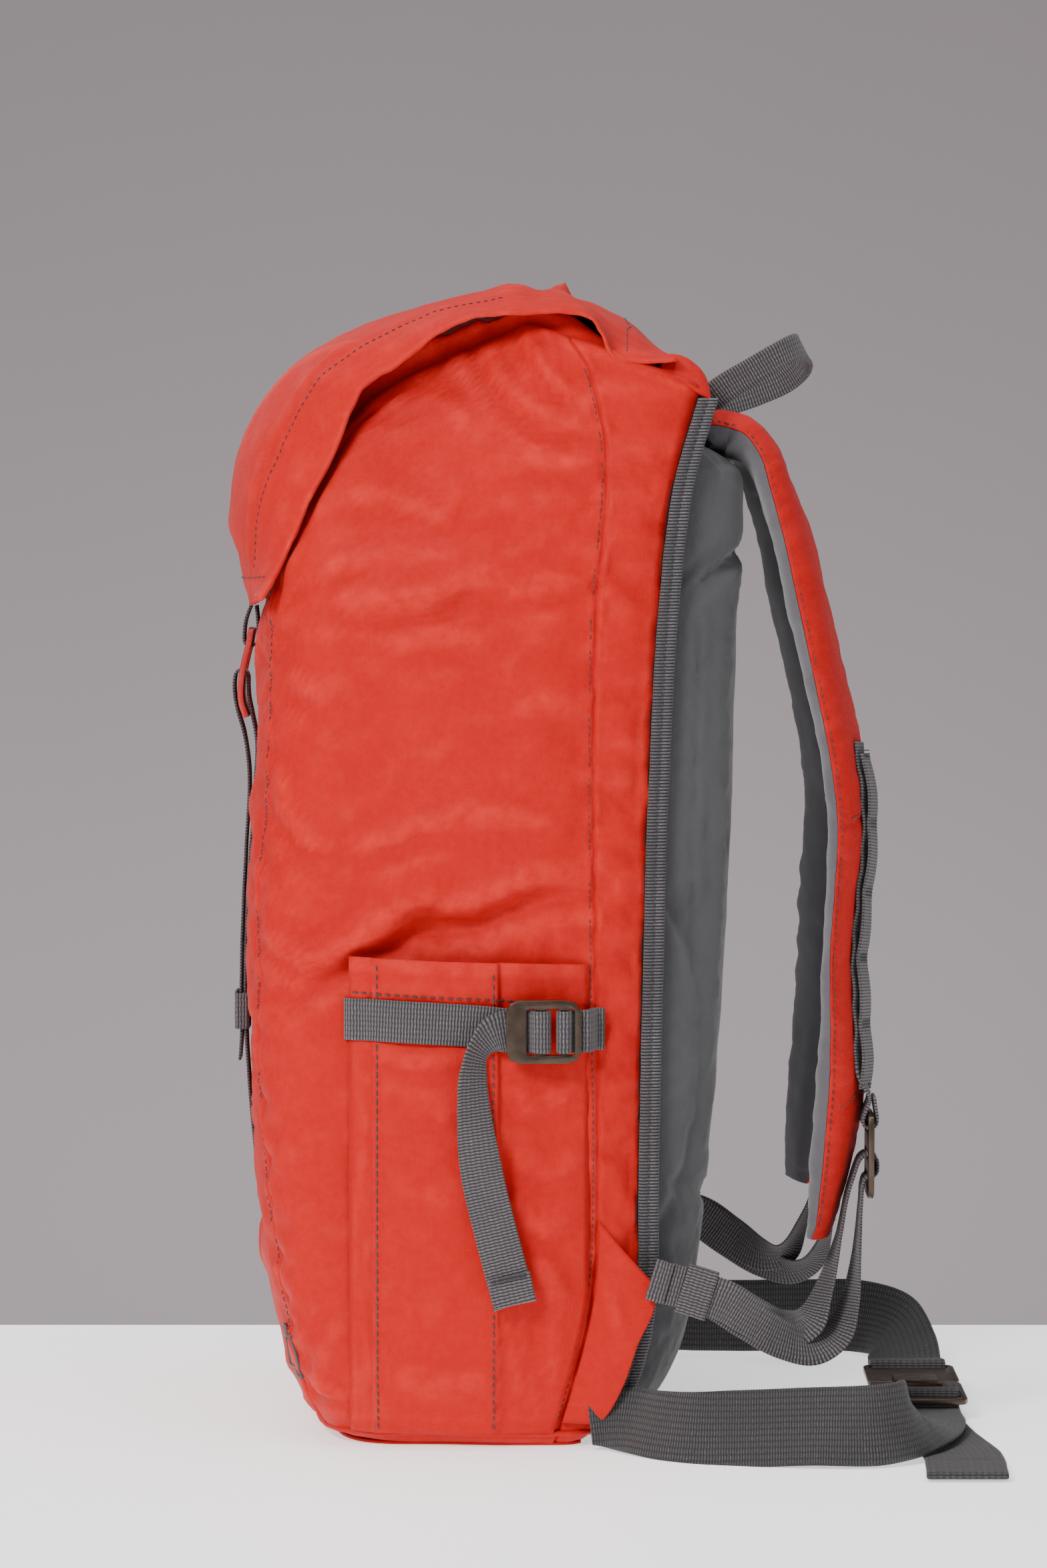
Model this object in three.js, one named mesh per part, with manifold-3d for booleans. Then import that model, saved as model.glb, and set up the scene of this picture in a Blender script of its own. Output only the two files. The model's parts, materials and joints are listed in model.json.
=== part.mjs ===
// A roll-collar daypack with a wide lid, padded back, shoulder straps and a waist belt.
// Millimetres, +Z up. The origin is the middle of the base's underside. The wearer faces +X,
// so the harness is on +X, the front on -X, and the wearer's right on -Y.
import * as THREE from 'three';
import { mergeVertices } from 'three/addons/utils/BufferGeometryUtils.js';
import Module from 'manifold-3d';

const wasm = await Module();
wasm.setup();

// ---------------------------------------------------------------- driving dimensions

const GAP = 0.45; // clearance kept between pieces that touch on the real pack
const WALL = 2.4; // canvas, lining and seam allowances together
const BASE = 3; // thickness of the base
const NARROW_WEB = 20; // width of the adjusting webbing
const BELT_WEB = 38; // width of the waist belt's webbing
const WEB = 1.5; // thickness of the narrow webbing
const BELT_THICK = 2;
const FLARE = 0.95; // the back's half width as a share of the rear half width

// Shapes of the body by height: rows of [height, value], read by a smooth curve.
const frontX = throughRows([[0, -66], [12, -77], [47, -88], [100, -98], [190, -105], [260, -104],
  [340, -99], [400, -98], [445, -91], [475, -78], [515, -55]]);
const rearX = throughRows([[0, 60], [30, 76], [70, 85], [130, 86], [300, 90], [400, 95], [460, 102],
  [506, 115]]);
const seamX = throughRows([[0, 46], [70, 64], [130, 67], [300, 65], [400, 66], [470, 71], [515, 63]]);
const frontHalf = throughRows([[0, 118], [40, 126], [380, 127], [420, 125], [450, 119], [480, 110],
  [515, 100]]);
const rearHalf = throughRows([[0, 120], [40, 127], [420, 127], [460, 125], [500, 121], [525, 117]]);
const padX = throughRows([[6, 80], [24, 98], [51, 110], [90, 117], [180, 127], [296, 134], [407, 136.5],
  [450, 137], [474, 134], [484, 118]]);

// Seams, counted along the wall's outline from the middle of the front (0) to the back edge (8).
const FRONT_SEAM = 2;
const REAR_SEAM = 6;
const BACK_EDGE = 8;
const SEAM_INSET = 0.009;
const rimByIndex = throughRows([[0, 448], [1, 449], [2, 456], [3, 478], [4, 499], [5, 509], [6, 512],
  [7, 508], [8, 505]]);

const MOUTH = { x: 8, reachX: 46, reachY: 66, hemLow: 514, hemHigh: 526, hemHalf: 4, cloth: 1.2 };
const DRAWCORD = { radius: 1.2, z: 519, apart: 1.7 };
const LOCK = {
  x: -62, low: 496, high: 516, top: 521, radius: 7.5, bore: 5.6, cordZ: 510, travel: 3, plunger: 506.5,
};
const POCKET = { front: -52, rear: 62.5, low: 7, high: 238, bulge: 8, cloth: 1.6 };
const STRAP_Y = 100; // where the lower ends of the shoulder straps hang
const LADDER = { x: 198.5, top: 160, height: 41, width: 30, thickness: 3 };
const SIDE_BUCKLE = { front: 23, length: 35.5, height: 30, corner: 6, z: 203.5, thickness: 3 };
// Slots of the side buckle from its front edge to its rear edge, as [start, end] along the pack.
const SIDE_SLOTS = [[32.65, 37.85], [41.15, 49.5], [51.9, 55.7]];
const BELT_BUCKLE = { x: 228, width: 46, low: 8, thickness: 3 };

// ---------------------------------------------------------------- curves and closed meshes

// Smooth curve through rows of [position, value], held at its ends.
function throughRows(rows) {
  return (position) => {
    const last = rows.length - 1;
    if (position <= rows[0][0]) return rows[0][1];
    if (position >= rows[last][0]) return rows[last][1];
    const i = rows.findIndex((row) => row[0] > position) - 1;
    const [x1, y1] = rows[i];
    const [x2, y2] = rows[i + 1];
    const slope = (k) => {
      if (k <= 0 || k >= last) return (y2 - y1) / (x2 - x1);
      return (rows[k + 1][1] - rows[k - 1][1]) / (rows[k + 1][0] - rows[k - 1][0]);
    };
    const span = x2 - x1;
    const t = (position - x1) / span;
    const bend1 = slope(i) * span - (y2 - y1);
    const bend2 = (y2 - y1) - slope(i + 1) * span;
    return (1 - t) * y1 + t * y2 + t * (1 - t) * ((1 - t) * bend1 + t * bend2);
  };
}

const vec = (x, y, z) => new THREE.Vector3(x, y, z);
const toVectors = (rows) => rows.map((row) => vec(...row));
const steps = (count) => Array.from({ length: count + 1 }, (_, i) => i / count);
const blend = (a, b, t) => a + (b - a) * t;

function signedVolume(positions, index) {
  const at = (i) => vec(positions[3 * i], positions[3 * i + 1], positions[3 * i + 2]);
  let sum = 0;
  for (let i = 0; i < index.length; i += 3) {
    sum += at(index[i]).dot(at(index[i + 1]).cross(at(index[i + 2])));
  }
  return sum / 6;
}

// Closed mesh from positions and triangles, turned so that its faces point out.
function closedGeometry(positions, index) {
  const outward = signedVolume(positions, index) > 0 ? index : index.slice().reverse();
  const geometry = new THREE.BufferGeometry();
  geometry.setAttribute('position', new THREE.Float32BufferAttribute(positions, 3));
  geometry.setIndex(outward);
  geometry.computeVertexNormals();
  return geometry;
}

// Skin over rings of equal point counts. Each ring runs out along one side and back along the
// other, so its end caps are strips between the two. A closed loft joins the last ring to the first.
function loft(rings, closed = false) {
  const n = rings[0].length;
  const half = n / 2;
  const positions = rings.flat().flatMap((point) => point.toArray());
  const index = [];
  const ringCount = closed ? rings.length : rings.length - 1;
  for (let r = 0; r < ringCount; r += 1) {
    const next = (r + 1) % rings.length;
    for (let k = 0; k < n; k += 1) {
      const a = r * n + k;
      const b = r * n + ((k + 1) % n);
      const c = next * n + k;
      const d = next * n + ((k + 1) % n);
      index.push(a, b, c, b, d, c);
    }
  }
  if (!closed) {
    for (let k = 0; k < half - 1; k += 1) {
      const far = n - 1 - k;
      index.push(k + 1, k, far, k + 1, far, far - 1);
      const top = (rings.length - 1) * n;
      index.push(top + k, top + k + 1, top + far, top + k + 1, top + far - 1, top + far);
    }
  }
  return closedGeometry(positions, index);
}

// Cloth panel of one thickness under the surface (u, v) -> point. A positive thickness goes
// against the direction of du x dv.
function clothPanel(surface, uCount, vCount, thickness) {
  const h = 1e-3;
  const normalAt = (u, v) => {
    const du = surface(Math.min(u + h, 1), v).sub(surface(Math.max(u - h, 0), v));
    const dv = surface(u, Math.min(v + h, 1)).sub(surface(u, Math.max(v - h, 0)));
    return du.cross(dv).normalize();
  };
  const rings = steps(vCount).map((v) => {
    const outer = steps(uCount).map((u) => surface(u, v));
    const inner = steps(uCount).map((u) => surface(u, v).addScaledVector(normalAt(u, v), -thickness));
    return [...outer, ...inner.reverse()];
  });
  return loft(rings);
}

// Flat webbing along a smooth path. Each row is a path point followed by its width vector.
function webbing(rows, stations, thickness = WEB) {
  const path = new THREE.CatmullRomCurve3(rows.map((row) => vec(row[0], row[1], row[2])));
  const widths = new THREE.CatmullRomCurve3(rows.map((row) => vec(row[3], row[4], row[5])));
  const rings = steps(stations).map((t) => {
    const point = path.getPoint(t);
    const along = path.getTangent(t);
    const across = widths.getPoint(t).multiplyScalar(0.5);
    const up = along.clone().cross(across).normalize().multiplyScalar(thickness / 2);
    return [[-1, 1], [1, 1], [1, -1], [-1, -1]].map(
      ([side, face]) => point.clone().addScaledVector(across, side).addScaledVector(up, face),
    );
  });
  return loft(rings);
}

function roundedRectangle(width, height, radius, centreX = 0, centreY = 0, Kind = THREE.Shape) {
  const outline = new Kind();
  const x = width / 2 - radius;
  const y = height / 2 - radius;
  const corners = [[x, -y, -0.5, 0], [x, y, 0, 0.5], [-x, y, 0.5, 1], [-x, -y, 1, 1.5]];
  corners.forEach(([cx, cy, from, to]) => {
    outline.absarc(centreX + cx, centreY + cy, radius, from * Math.PI, to * Math.PI, false);
  });
  outline.closePath();
  return outline;
}

// Flat plate in the XY plane from z = 0 to its thickness, with slots given as
// [centreX, centreY, width, height].
function slottedPlate(width, height, radius, slots, thickness) {
  const shape = roundedRectangle(width, height, radius);
  slots.forEach(([x, y, w, h]) => shape.holes.push(roundedRectangle(w, h, 1, x, y, THREE.Path)));
  return new THREE.ExtrudeGeometry(shape, { depth: thickness, bevelEnabled: false, curveSegments: 1 });
}

function mergedPositions(geometry) {
  const bare = geometry.clone();
  bare.deleteAttribute('normal');
  bare.deleteAttribute('uv');
  return mergeVertices(bare, 1e-4);
}

function toSolid(geometry) {
  const merged = mergedPositions(geometry);
  return new wasm.Manifold(new wasm.Mesh({
    numProp: 3,
    vertProperties: Float32Array.from(merged.attributes.position.array),
    triVerts: Uint32Array.from(merged.index.array),
  }));
}

function fromSolid(solid) {
  const mesh = solid.getMesh();
  return closedGeometry(Array.from(mesh.vertProperties), Array.from(mesh.triVerts));
}

const cut = (geometry, ...tools) =>
  fromSolid(tools.reduce((solid, tool) => solid.subtract(toSolid(tool)), toSolid(geometry)));
const join = (geometry, ...more) =>
  fromSolid(more.reduce((solid, other) => solid.add(toSolid(other)), toSolid(geometry)));

function box(low, high) {
  const size = vec(...high).sub(vec(...low));
  const middle = vec(...high).add(vec(...low)).multiplyScalar(0.5);
  return new THREE.BoxGeometry(size.x, size.y, size.z).translate(middle.x, middle.y, middle.z);
}

// The same piece on the other side of the pack.
function mirrored(geometry) {
  const merged = mergedPositions(geometry);
  const positions = Array.from(merged.attributes.position.array)
    .map((value, i) => (i % 3 === 1 ? -value : value));
  return closedGeometry(positions, Array.from(merged.index.array));
}

// ---------------------------------------------------------------- the body's wall

// Outline of the body at one height: half of it as [x, half width], from the front's middle to the
// back edge.
function halfOutline(z) {
  const front = frontX(z);
  const seam = seamX(z);
  const rear = rearX(z);
  const wf = frontHalf(z);
  const wr = rearHalf(z);
  return [[front, 0], [front + 2, 0.4 * wf], [front + 9, 0.8 * wf], [front + 26, 0.97 * wf],
    [front + 60, wf], [(front + 60 + seam) / 2, (wf + wr) / 2 + 1], [seam, wr],
    [(seam + rear) / 2 + 2, 0.985 * wr], [rear, FLARE * wr]];
}

// Point on the outer surface. Positive indices are on the wearer's right.
function wallPoint(index, z) {
  const half = halfOutline(z);
  const right = half.map(([x, y]) => new THREE.Vector2(x, -y));
  const left = half.slice(1).map(([x, y]) => new THREE.Vector2(x, y));
  const curve = new THREE.SplineCurve([...left.reverse(), ...right]);
  const flat = curve.getPoint((index + BACK_EDGE) / (2 * BACK_EDGE));
  return vec(flat.x, flat.y, z);
}

// Distance of the right side's outer surface from the middle plane, at one place along the pack.
function sideReach(x, z) {
  let low = FRONT_SEAM;
  let high = BACK_EDGE;
  for (let i = 0; i < 24; i += 1) {
    const middle = (low + high) / 2;
    if (wallPoint(middle, z).x < x) low = middle;
    else high = middle;
  }
  return -wallPoint(low, z).y;
}

function wallPanel(from, to, across, up) {
  const low = BASE + GAP;
  const surface = (u, v) => {
    const index = blend(from + SEAM_INSET, to - SEAM_INSET, u);
    return wallPoint(index, blend(low, rimByIndex(Math.abs(index)), v ** 0.85));
  };
  return clothPanel(surface, across, up, WALL);
}

function basePanel() {
  const outline = steps(36).map((t) => wallPoint(blend(-BACK_EDGE, BACK_EDGE, t), 1));
  const shape = new THREE.Shape(outline.map((point) => new THREE.Vector2(point.x, point.y)));
  return new THREE.ExtrudeGeometry(shape, { depth: BASE, bevelEnabled: false });
}

// ---------------------------------------------------------------- the back, from inside out

// Heights at which every layer of the back has its corners, so that the layers stay parallel.
const BACK_LEVELS = [5, 9, 24, 48, 80, 125, 180, 240, 310, 370, 415, 448, 470, 480, 484, 504];

// Sheet that follows the back plane, set off from it and narrower than it by the given amounts.
function backSheet(offset, thickness, inset, levels) {
  return loft(levels.map((z) => {
    const x = rearX(z) + offset;
    const reach = FLARE * rearHalf(z) - inset;
    return [vec(x + thickness, -reach, z), vec(x + thickness, reach, z), vec(x, reach, z),
      vec(x, -reach, z)];
  }));
}

const PAD = {
  levels: BACK_LEVELS.slice(0, 15), across: 10, edge: 3.6, rise: 4.6, cover: WALL, foamDepth: 5.4,
};

// Outer surface of the padded back, across from right (0) to left (1), at one height.
function padPoint(u, z) {
  const reach = FLARE * rearHalf(z) - PAD.edge;
  const across = 2 * u - 1;
  const low = PAD.levels[0];
  const high = PAD.levels[PAD.levels.length - 1];
  const ends = Math.min(1, (z - low) / 14, (high - z) / 14);
  const rise = (padX(z) - rearX(z) - PAD.rise) * (1 - Math.abs(across) ** 4) * Math.sqrt(ends);
  return vec(rearX(z) + PAD.rise + Math.max(rise, 0), across * reach, z);
}

function backCover() {
  const last = PAD.levels.length - 1;
  return clothPanel((u, v) => {
    const i = Math.min(Math.floor(v * last), last - 1);
    return padPoint(u, blend(PAD.levels[i], PAD.levels[i + 1], v * last - i));
  }, PAD.across, last, PAD.cover);
}

function backFoam() {
  const front = 2.7;
  const across = steps(PAD.across).slice(1, -1);
  const rings = PAD.levels.slice(2, -3).map((z) => {
    const outer = across.map((u) => padPoint(u, z).setX(padPoint(u, z).x - PAD.foamDepth));
    const inner = across.map((u) => padPoint(u, z).setX(rearX(z) + front));
    return [...outer, ...inner.reverse()];
  });
  return loft(rings);
}

// Ribbed tape folded round the edge where the side, the back sheet and the mesh meet.
function edgeBinding() {
  const tape = { width: 8.4, inner: 2.4, outer: 2.2 };
  const rings = BACK_LEVELS.map((z) => {
    const x = rearX(z) + 1.5;
    const y = FLARE * rearHalf(z);
    return [vec(x, -y - tape.outer + 0.6, z), vec(x + 1.5, -y - tape.outer, z),
      vec(x + tape.width, -y - 1, z), vec(x + tape.width, -y + 1, z), vec(x + 1.5, -y + tape.inner, z),
      vec(x, -y + tape.inner - 0.6, z)];
  });
  return loft(rings);
}

// Cloth between the top of the back and the lid's hinge line.
function topYoke() {
  const outer = new THREE.CatmullRomCurve3(toVectors([[119.4, 0, 509.5], [116, 0, 517], [110, 0, 522.3],
    [103.4, 0, 525.2]]));
  const surface = (u, v) => outer.getPoint(v).add(vec(0, blend(-113, 113, u), 0));
  return clothPanel(surface, 4, 4, WALL);
}

// ---------------------------------------------------------------- lid

const lidMiddle = new THREE.CatmullRomCurve3(toVectors([[97.3, 0, 525.5], [83, 0, 539], [60, 0, 552],
  [24, 0, 558.5], [-26, 0, 547], [-61, 0, 535], [-87, 0, 517], [-103, 0, 495], [-112, 0, 472],
  [-113, 0, 450], [-110, 0, 425], [-104.5, 0, 402.5]]));
const lidSide = new THREE.CatmullRomCurve3(toVectors([[97.3, 0, 525.5], [86, 0, 526], [68, 0, 532],
  [43, 0, 541], [6, 0, 541], [-28, 0, 526], [-48, 0, 505], [-63, 0, 481], [-74, 0, 462], [-84, 0, 444],
  [-91, 0, 429], [-96, 0, 413]]));
const LID = { halfWidth: 116, frontHalfWidth: 110, thickness: 3, shoulder: 3 };

function lidPanel() {
  const surface = (u, v) => {
    const across = 2 * u - 1;
    const middle = lidMiddle.getPoint(v);
    const side = lidSide.getPoint(v);
    const point = middle.lerp(side, Math.abs(across) ** LID.shoulder);
    return point.setY(across * blend(LID.halfWidth, LID.frontHalfWidth, v * v));
  };
  return clothPanel(surface, 10, 14, LID.thickness);
}

// ---------------------------------------------------------------- collar, hem and drawcord

// Places round the body's rim: wall indices on both sides, and shares of the back's half width.
const RIM_STATIONS = [
  ...[0, 1, 2, 2.6, 3.3, 4, 4.7, 5.4, 6, 6.8, 7.5].map((index) => ({ index })),
  ...[-0.88, -0.5, 0, 0.5, 0.88].map((share) => ({ share })),
  ...[7.5, 6.8, 6, 5.4, 4.7, 4, 3.3, 2.6, 2, 1].map((index) => ({ index: -index })),
];

function collar() {
  const inset = WALL + 2.3;
  const cloth = 1.4;
  const middle = vec(MOUTH.x, 0, 0);
  const rings = RIM_STATIONS.map(({ index, share }) => {
    const onBack = index === undefined;
    const rim = onBack ? 504 : rimByIndex(Math.abs(index)) - 1;
    const at = (z) => (onBack ? vec(rearX(z), share * FLARE * rearHalf(z), z) : wallPoint(index, z));
    const inward = (point, distance) => {
      const direction = vec(middle.x - point.x, -point.y, 0).normalize();
      return point.clone().addScaledVector(direction, distance);
    };
    const low = at(rim - 12);
    const high = at(rim);
    const angle = Math.atan2(high.y / MOUTH.reachY, (high.x - MOUTH.x) / MOUTH.reachX);
    const mouth = (grow, z) => vec(MOUTH.x + (MOUTH.reachX + grow) * Math.cos(angle),
      (MOUTH.reachY + grow) * Math.sin(angle), z);
    const skew = onBack ? 1 : 1.25; // the inset is measured square to the wall, not towards the middle
    const shoulder = inward(high, inset * skew).lerp(mouth(0, MOUTH.hemLow), 0.45);
    shoulder.z = blend(rim, MOUTH.hemLow, 0.45);
    const outer = [inward(low, inset * skew), inward(high, inset * skew),
      shoulder, mouth(0.8, MOUTH.hemLow - GAP)];
    const inner = [inward(low, inset * skew + cloth), inward(high, inset * skew + cloth),
      inward(shoulder, 0.8).add(vec(0, 0, -1.3)), mouth(-0.8, MOUTH.hemLow - GAP)];
    return [...outer, ...inner.reverse()];
  });
  return loft(rings, true);
}

function collarHem() {
  const { hemLow, hemHigh, hemHalf, cloth } = MOUTH;
  const count = 24;
  const rings = steps(count).slice(0, -1).map((t) => {
    const angle = 2 * Math.PI * t;
    const at = (grow, z) => vec(MOUTH.x + (MOUTH.reachX + grow) * Math.cos(angle),
      (MOUTH.reachY + grow) * Math.sin(angle), z);
    return [at(hemHalf, hemLow), at(hemHalf, hemHigh), at(-hemHalf, hemHigh), at(-hemHalf, hemLow),
      at(-hemHalf + cloth, hemLow), at(-hemHalf + cloth, hemHigh - cloth),
      at(hemHalf - cloth, hemHigh - cloth), at(hemHalf - cloth, hemLow)];
  });
  const frontEdge = MOUTH.x - MOUTH.reachX;
  const cordExit = box([frontEdge - 6, -11, hemLow - 1], [frontEdge, 11, DRAWCORD.z + 3]);
  return cut(loft(rings, true), cordExit);
}

function drawcord() {
  const around = steps(30).slice(1, -1).map((t) => {
    const angle = Math.PI - 2 * Math.PI * t;
    return [MOUTH.x + MOUTH.reachX * Math.cos(angle), MOUTH.reachY * Math.sin(angle), DRAWCORD.z];
  });
  const ends = (side) => [[LOCK.x - LOCK.radius - 3, side * DRAWCORD.apart, LOCK.cordZ],
    [LOCK.x, side * DRAWCORD.apart, LOCK.cordZ],
    [LOCK.x + LOCK.radius, side * DRAWCORD.apart, LOCK.cordZ],
    [LOCK.x + LOCK.radius + 9, side * 2.6, LOCK.cordZ + 6.5],
    [LOCK.x + LOCK.radius + 14.5, side * 6, DRAWCORD.z]];
  const path = new THREE.CatmullRomCurve3(toVectors([...ends(1), ...around, ...ends(-1).reverse()]));
  const section = new THREE.Shape(steps(8).slice(0, -1).map((t) => new THREE.Vector2(
    DRAWCORD.radius * Math.cos(2 * Math.PI * t),
    DRAWCORD.radius * Math.sin(2 * Math.PI * t),
  )));
  return new THREE.ExtrudeGeometry(section, { extrudePath: path, steps: 46, bevelEnabled: false });
}

const barrel = (outline) => new THREE.LatheGeometry(outline.map(([r, z]) => new THREE.Vector2(r, z)), 18)
  .rotateX(Math.PI / 2).translate(LOCK.x, 0, 0);

function cordLockBody() {
  const { radius, bore, low, high, cordZ } = LOCK;
  const shell = barrel([[0, low], [radius - 1, low], [radius, low + 1], [radius, high], [bore, high],
    [bore, low + 2], [0, low + 2]]);
  return cut(shell, box([LOCK.x - 12, -3.6, cordZ - 1.9], [LOCK.x + 12, 3.6, cordZ + 1.9]));
}

function cordLockButton() {
  const { bore, cordZ, travel, plunger: low, top } = LOCK;
  const plunger = barrel([[0, low], [bore - 0.4, low], [bore - 0.4, top - 1], [bore - 1.4, top],
    [0, top]]);
  return cut(plunger, box([LOCK.x - 12, -3.4, cordZ - 1.7], [LOCK.x + 12, 3.4, cordZ + 1.9 + travel]));
}

function cordLockSpring() {
  const wire = 0.45;
  const turns = 4;
  const low = LOCK.low + 2 + wire + 0.35;
  const rise = LOCK.plunger - 0.35 - wire - low;
  const points = steps(turns * 8).map((t) => {
    const angle = 2 * Math.PI * turns * t;
    return vec(LOCK.x + 4.4 * Math.cos(angle), 4.4 * Math.sin(angle), low + rise * t);
  });
  const rings = points.map((point, i) => {
    const t = i / (turns * 8);
    const angle = 2 * Math.PI * turns * t;
    const out = vec(Math.cos(angle), Math.sin(angle), 0);
    return [[1, 1], [1, -1], [-1, -1], [-1, 1]].map(([a, b]) => point.clone()
      .addScaledVector(out, a * wire).add(vec(0, 0, b * wire)));
  });
  return loft(rings);
}

// ---------------------------------------------------------------- side pocket and hip wing

const pocketRear = (z) => Math.min(POCKET.rear, seamX(z) - 2.2);

function pocketReach(x, z) {
  const along = (x - POCKET.front) / (pocketRear(z) - POCKET.front);
  const up = (z - POCKET.low) / (POCKET.high - POCKET.low);
  const crossBulge = Math.min(1, Math.max(0, 4.2 * along * (1 - along))) ** 0.6;
  const riseBulge = Math.min(1, 3.2 * up) ** 0.7;
  return sideReach(x, z) + GAP + POCKET.cloth + POCKET.bulge * crossBulge * riseBulge;
}

function sidePocket() {
  const surface = (u, v) => {
    const z = blend(POCKET.low, blend(POCKET.high, POCKET.high - 4, u), v);
    const x = blend(POCKET.front, pocketRear(z), u);
    return vec(x, -pocketReach(x, z), z);
  };
  return clothPanel(surface, 10, 7, POCKET.cloth);
}

const WING = { y: -130.5, thickness: 3 };

function hipWing() {
  const outline = [[66, 12], [74, 22], [77, 49], [93, 78], [92, 84], [70, 108], [66, 104]];
  const shape = new THREE.Shape(outline.map(([x, z]) => new THREE.Vector2(x, z)));
  return new THREE.ExtrudeGeometry(shape, { depth: WING.thickness, bevelEnabled: false })
    .rotateX(Math.PI / 2).translate(0, WING.y, 0);
}

function brandPatch() {
  const lift = GAP;
  const surface = (u, v) => {
    const at = wallPoint(blend(1.15, 1.9, u), blend(31, 51, v));
    return at.add(vec(-lift - 0.9, -0.3 * (lift + 0.9), 0));
  };
  return clothPanel(surface, 3, 2, 0.9);
}

// ---------------------------------------------------------------- front strap, hook and lid loop

const HOOK = { barHigh: 366, topLow: 384, width: 28, window: 23 };

function frontHook() {
  const profile = [[-104, 390], [-105, 384], [-107.4, 374], [-109.2, 364], [-109.2, 354], [-106.6, 346]];
  const plate = webbing(profile.map(([x, z]) => [x, 0, z, 0, HOOK.width, 0]), 12, 3);
  return cut(plate, box([-125, -HOOK.window / 2, HOOK.barHigh], [-90, HOOK.window / 2, HOOK.topLow]));
}

function frontStrap() {
  const w = NARROW_WEB;
  const against = (z, off) => [frontX(z) - off, 0, z, 0, w, 0];
  const overHook = [[-102.4, 350], [-105.4, 357], [-106, 362], [-106.1, 366], [-107.3, 368.6],
    [-109.6, 369.4], [-111.8, 368.4], [-112.8, 365], [-112.8, 355], [-111.6, 345], [-109, 335]];
  const rows = [against(106, 2.2), against(150, 2.4), against(200, 2.7), against(260, 2.3),
    against(310, 2.2), against(338, 2.2), ...overHook.map(([x, z]) => [x, 0, z, 0, w, 0]),
    against(318, 5.4), against(280, 4.6), against(240, 4.6), against(212, 4.7), against(188, 4.9),
    against(174, 6.5)];
  return webbing(rows, 50, 1.3);
}

const KEEPER = { low: 190, high: 208, halfWidth: 12, near: 0.5, far: 7, cloth: 0.8 };

function frontStrapKeeper() {
  const { low, high, halfWidth, near, far, cloth } = KEEPER;
  const x = frontX((low + high) / 2) - (near + far + cloth) / 2;
  const shape = roundedRectangle(far + cloth - near, 2 * halfWidth, 0.6);
  shape.holes.push(roundedRectangle(far - near - cloth, 2 * (halfWidth - cloth), 0.4, 0, 0, THREE.Path));
  return new THREE.ExtrudeGeometry(shape, { depth: high - low, bevelEnabled: false, curveSegments: 1 })
    .translate(x, 0, low);
}

function lidStrapLoop() {
  const w = NARROW_WEB;
  const rows = [[-101.9, 401.3], [-101.2, 394], [-101, 387], [-101.8, 382.8], [-104.7, 381],
    [-107.6, 382.9], [-107.9, 388.5], [-106.9, 395], [-104.6, 401.3]];
  return webbing(rows.map(([x, z]) => [x, 0, z, 0, w, 0]), 18, 1.3);
}

// ---------------------------------------------------------------- compression straps

const sideLayers = () => {
  const outside = pocketReach(10, SIDE_BUCKLE.z) + 1;
  return { load: -outside - 0.8, tail: -outside - 3, plate: -outside - 4.6 };
};

function compressionBuckle() {
  const { length, height, thickness, front, z } = SIDE_BUCKLE;
  const middle = front + length / 2;
  const slotHeight = NARROW_WEB + 2;
  const slots = SIDE_SLOTS.map(([start, end]) =>
    [(start + end) / 2 - middle, 0, end - start, slotHeight]);
  return slottedPlate(length, height, SIDE_BUCKLE.corner, slots, thickness).rotateX(Math.PI / 2)
    .translate(middle, sideLayers().plate, z);
}

function compressionStrap() {
  const { load, tail, plate } = sideLayers();
  const middle = SIDE_BUCKLE.front + SIDE_BUCKLE.length / 2;
  const over = plate - SIDE_BUCKLE.thickness - 1.3;
  const inPlate = plate - SIDE_BUCKLE.thickness / 2;
  const { z } = SIDE_BUCKLE;
  const w = NARROW_WEB;
  const rows = [
    [-57, -sideReach(-57, 208) - 1.5, 208, 0, 0, w], [-50, -pocketReach(-50, 208) - 1.6, 208, 0, 0, w],
    [-38, -pocketReach(-38, 208) - 1.6, 207.5, 0, 0, w], [-15, load, 207, 0, 0, w],
    [10, load, 205.5, 0, 0, w], [30, load, z, 0, 0, w], [middle + 0.8, load - 0.3, z, 0, 0, w],
    [middle + 3, inPlate, z, 0, 0, w], [middle + 1, over, z, 0, 0, w], [middle - 3.4, over, z, 0, 0, w],
    [middle - 5.5, inPlate, z, 0, 0, w], [middle - 8.5, tail, z, 0, 0, w], [24, tail, z, 0, 0, w],
    [15, tail - 1.5, 202, 1, -2, w - 3], [8.5, tail - 4, 195, -5, -8, 10],
    [6.5, tail - 5.5, 182, -9, -11, 5], [7.5, tail - 5, 164, -12, -9, 2],
    [13, tail - 3.5, 130, -w, -1, -2], [21, tail - 3, 104, -w, 0, -4], [29, tail - 2.5, 76, -w, 0, -5]];
  return webbing(rows, 50, 1.3);
}

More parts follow.
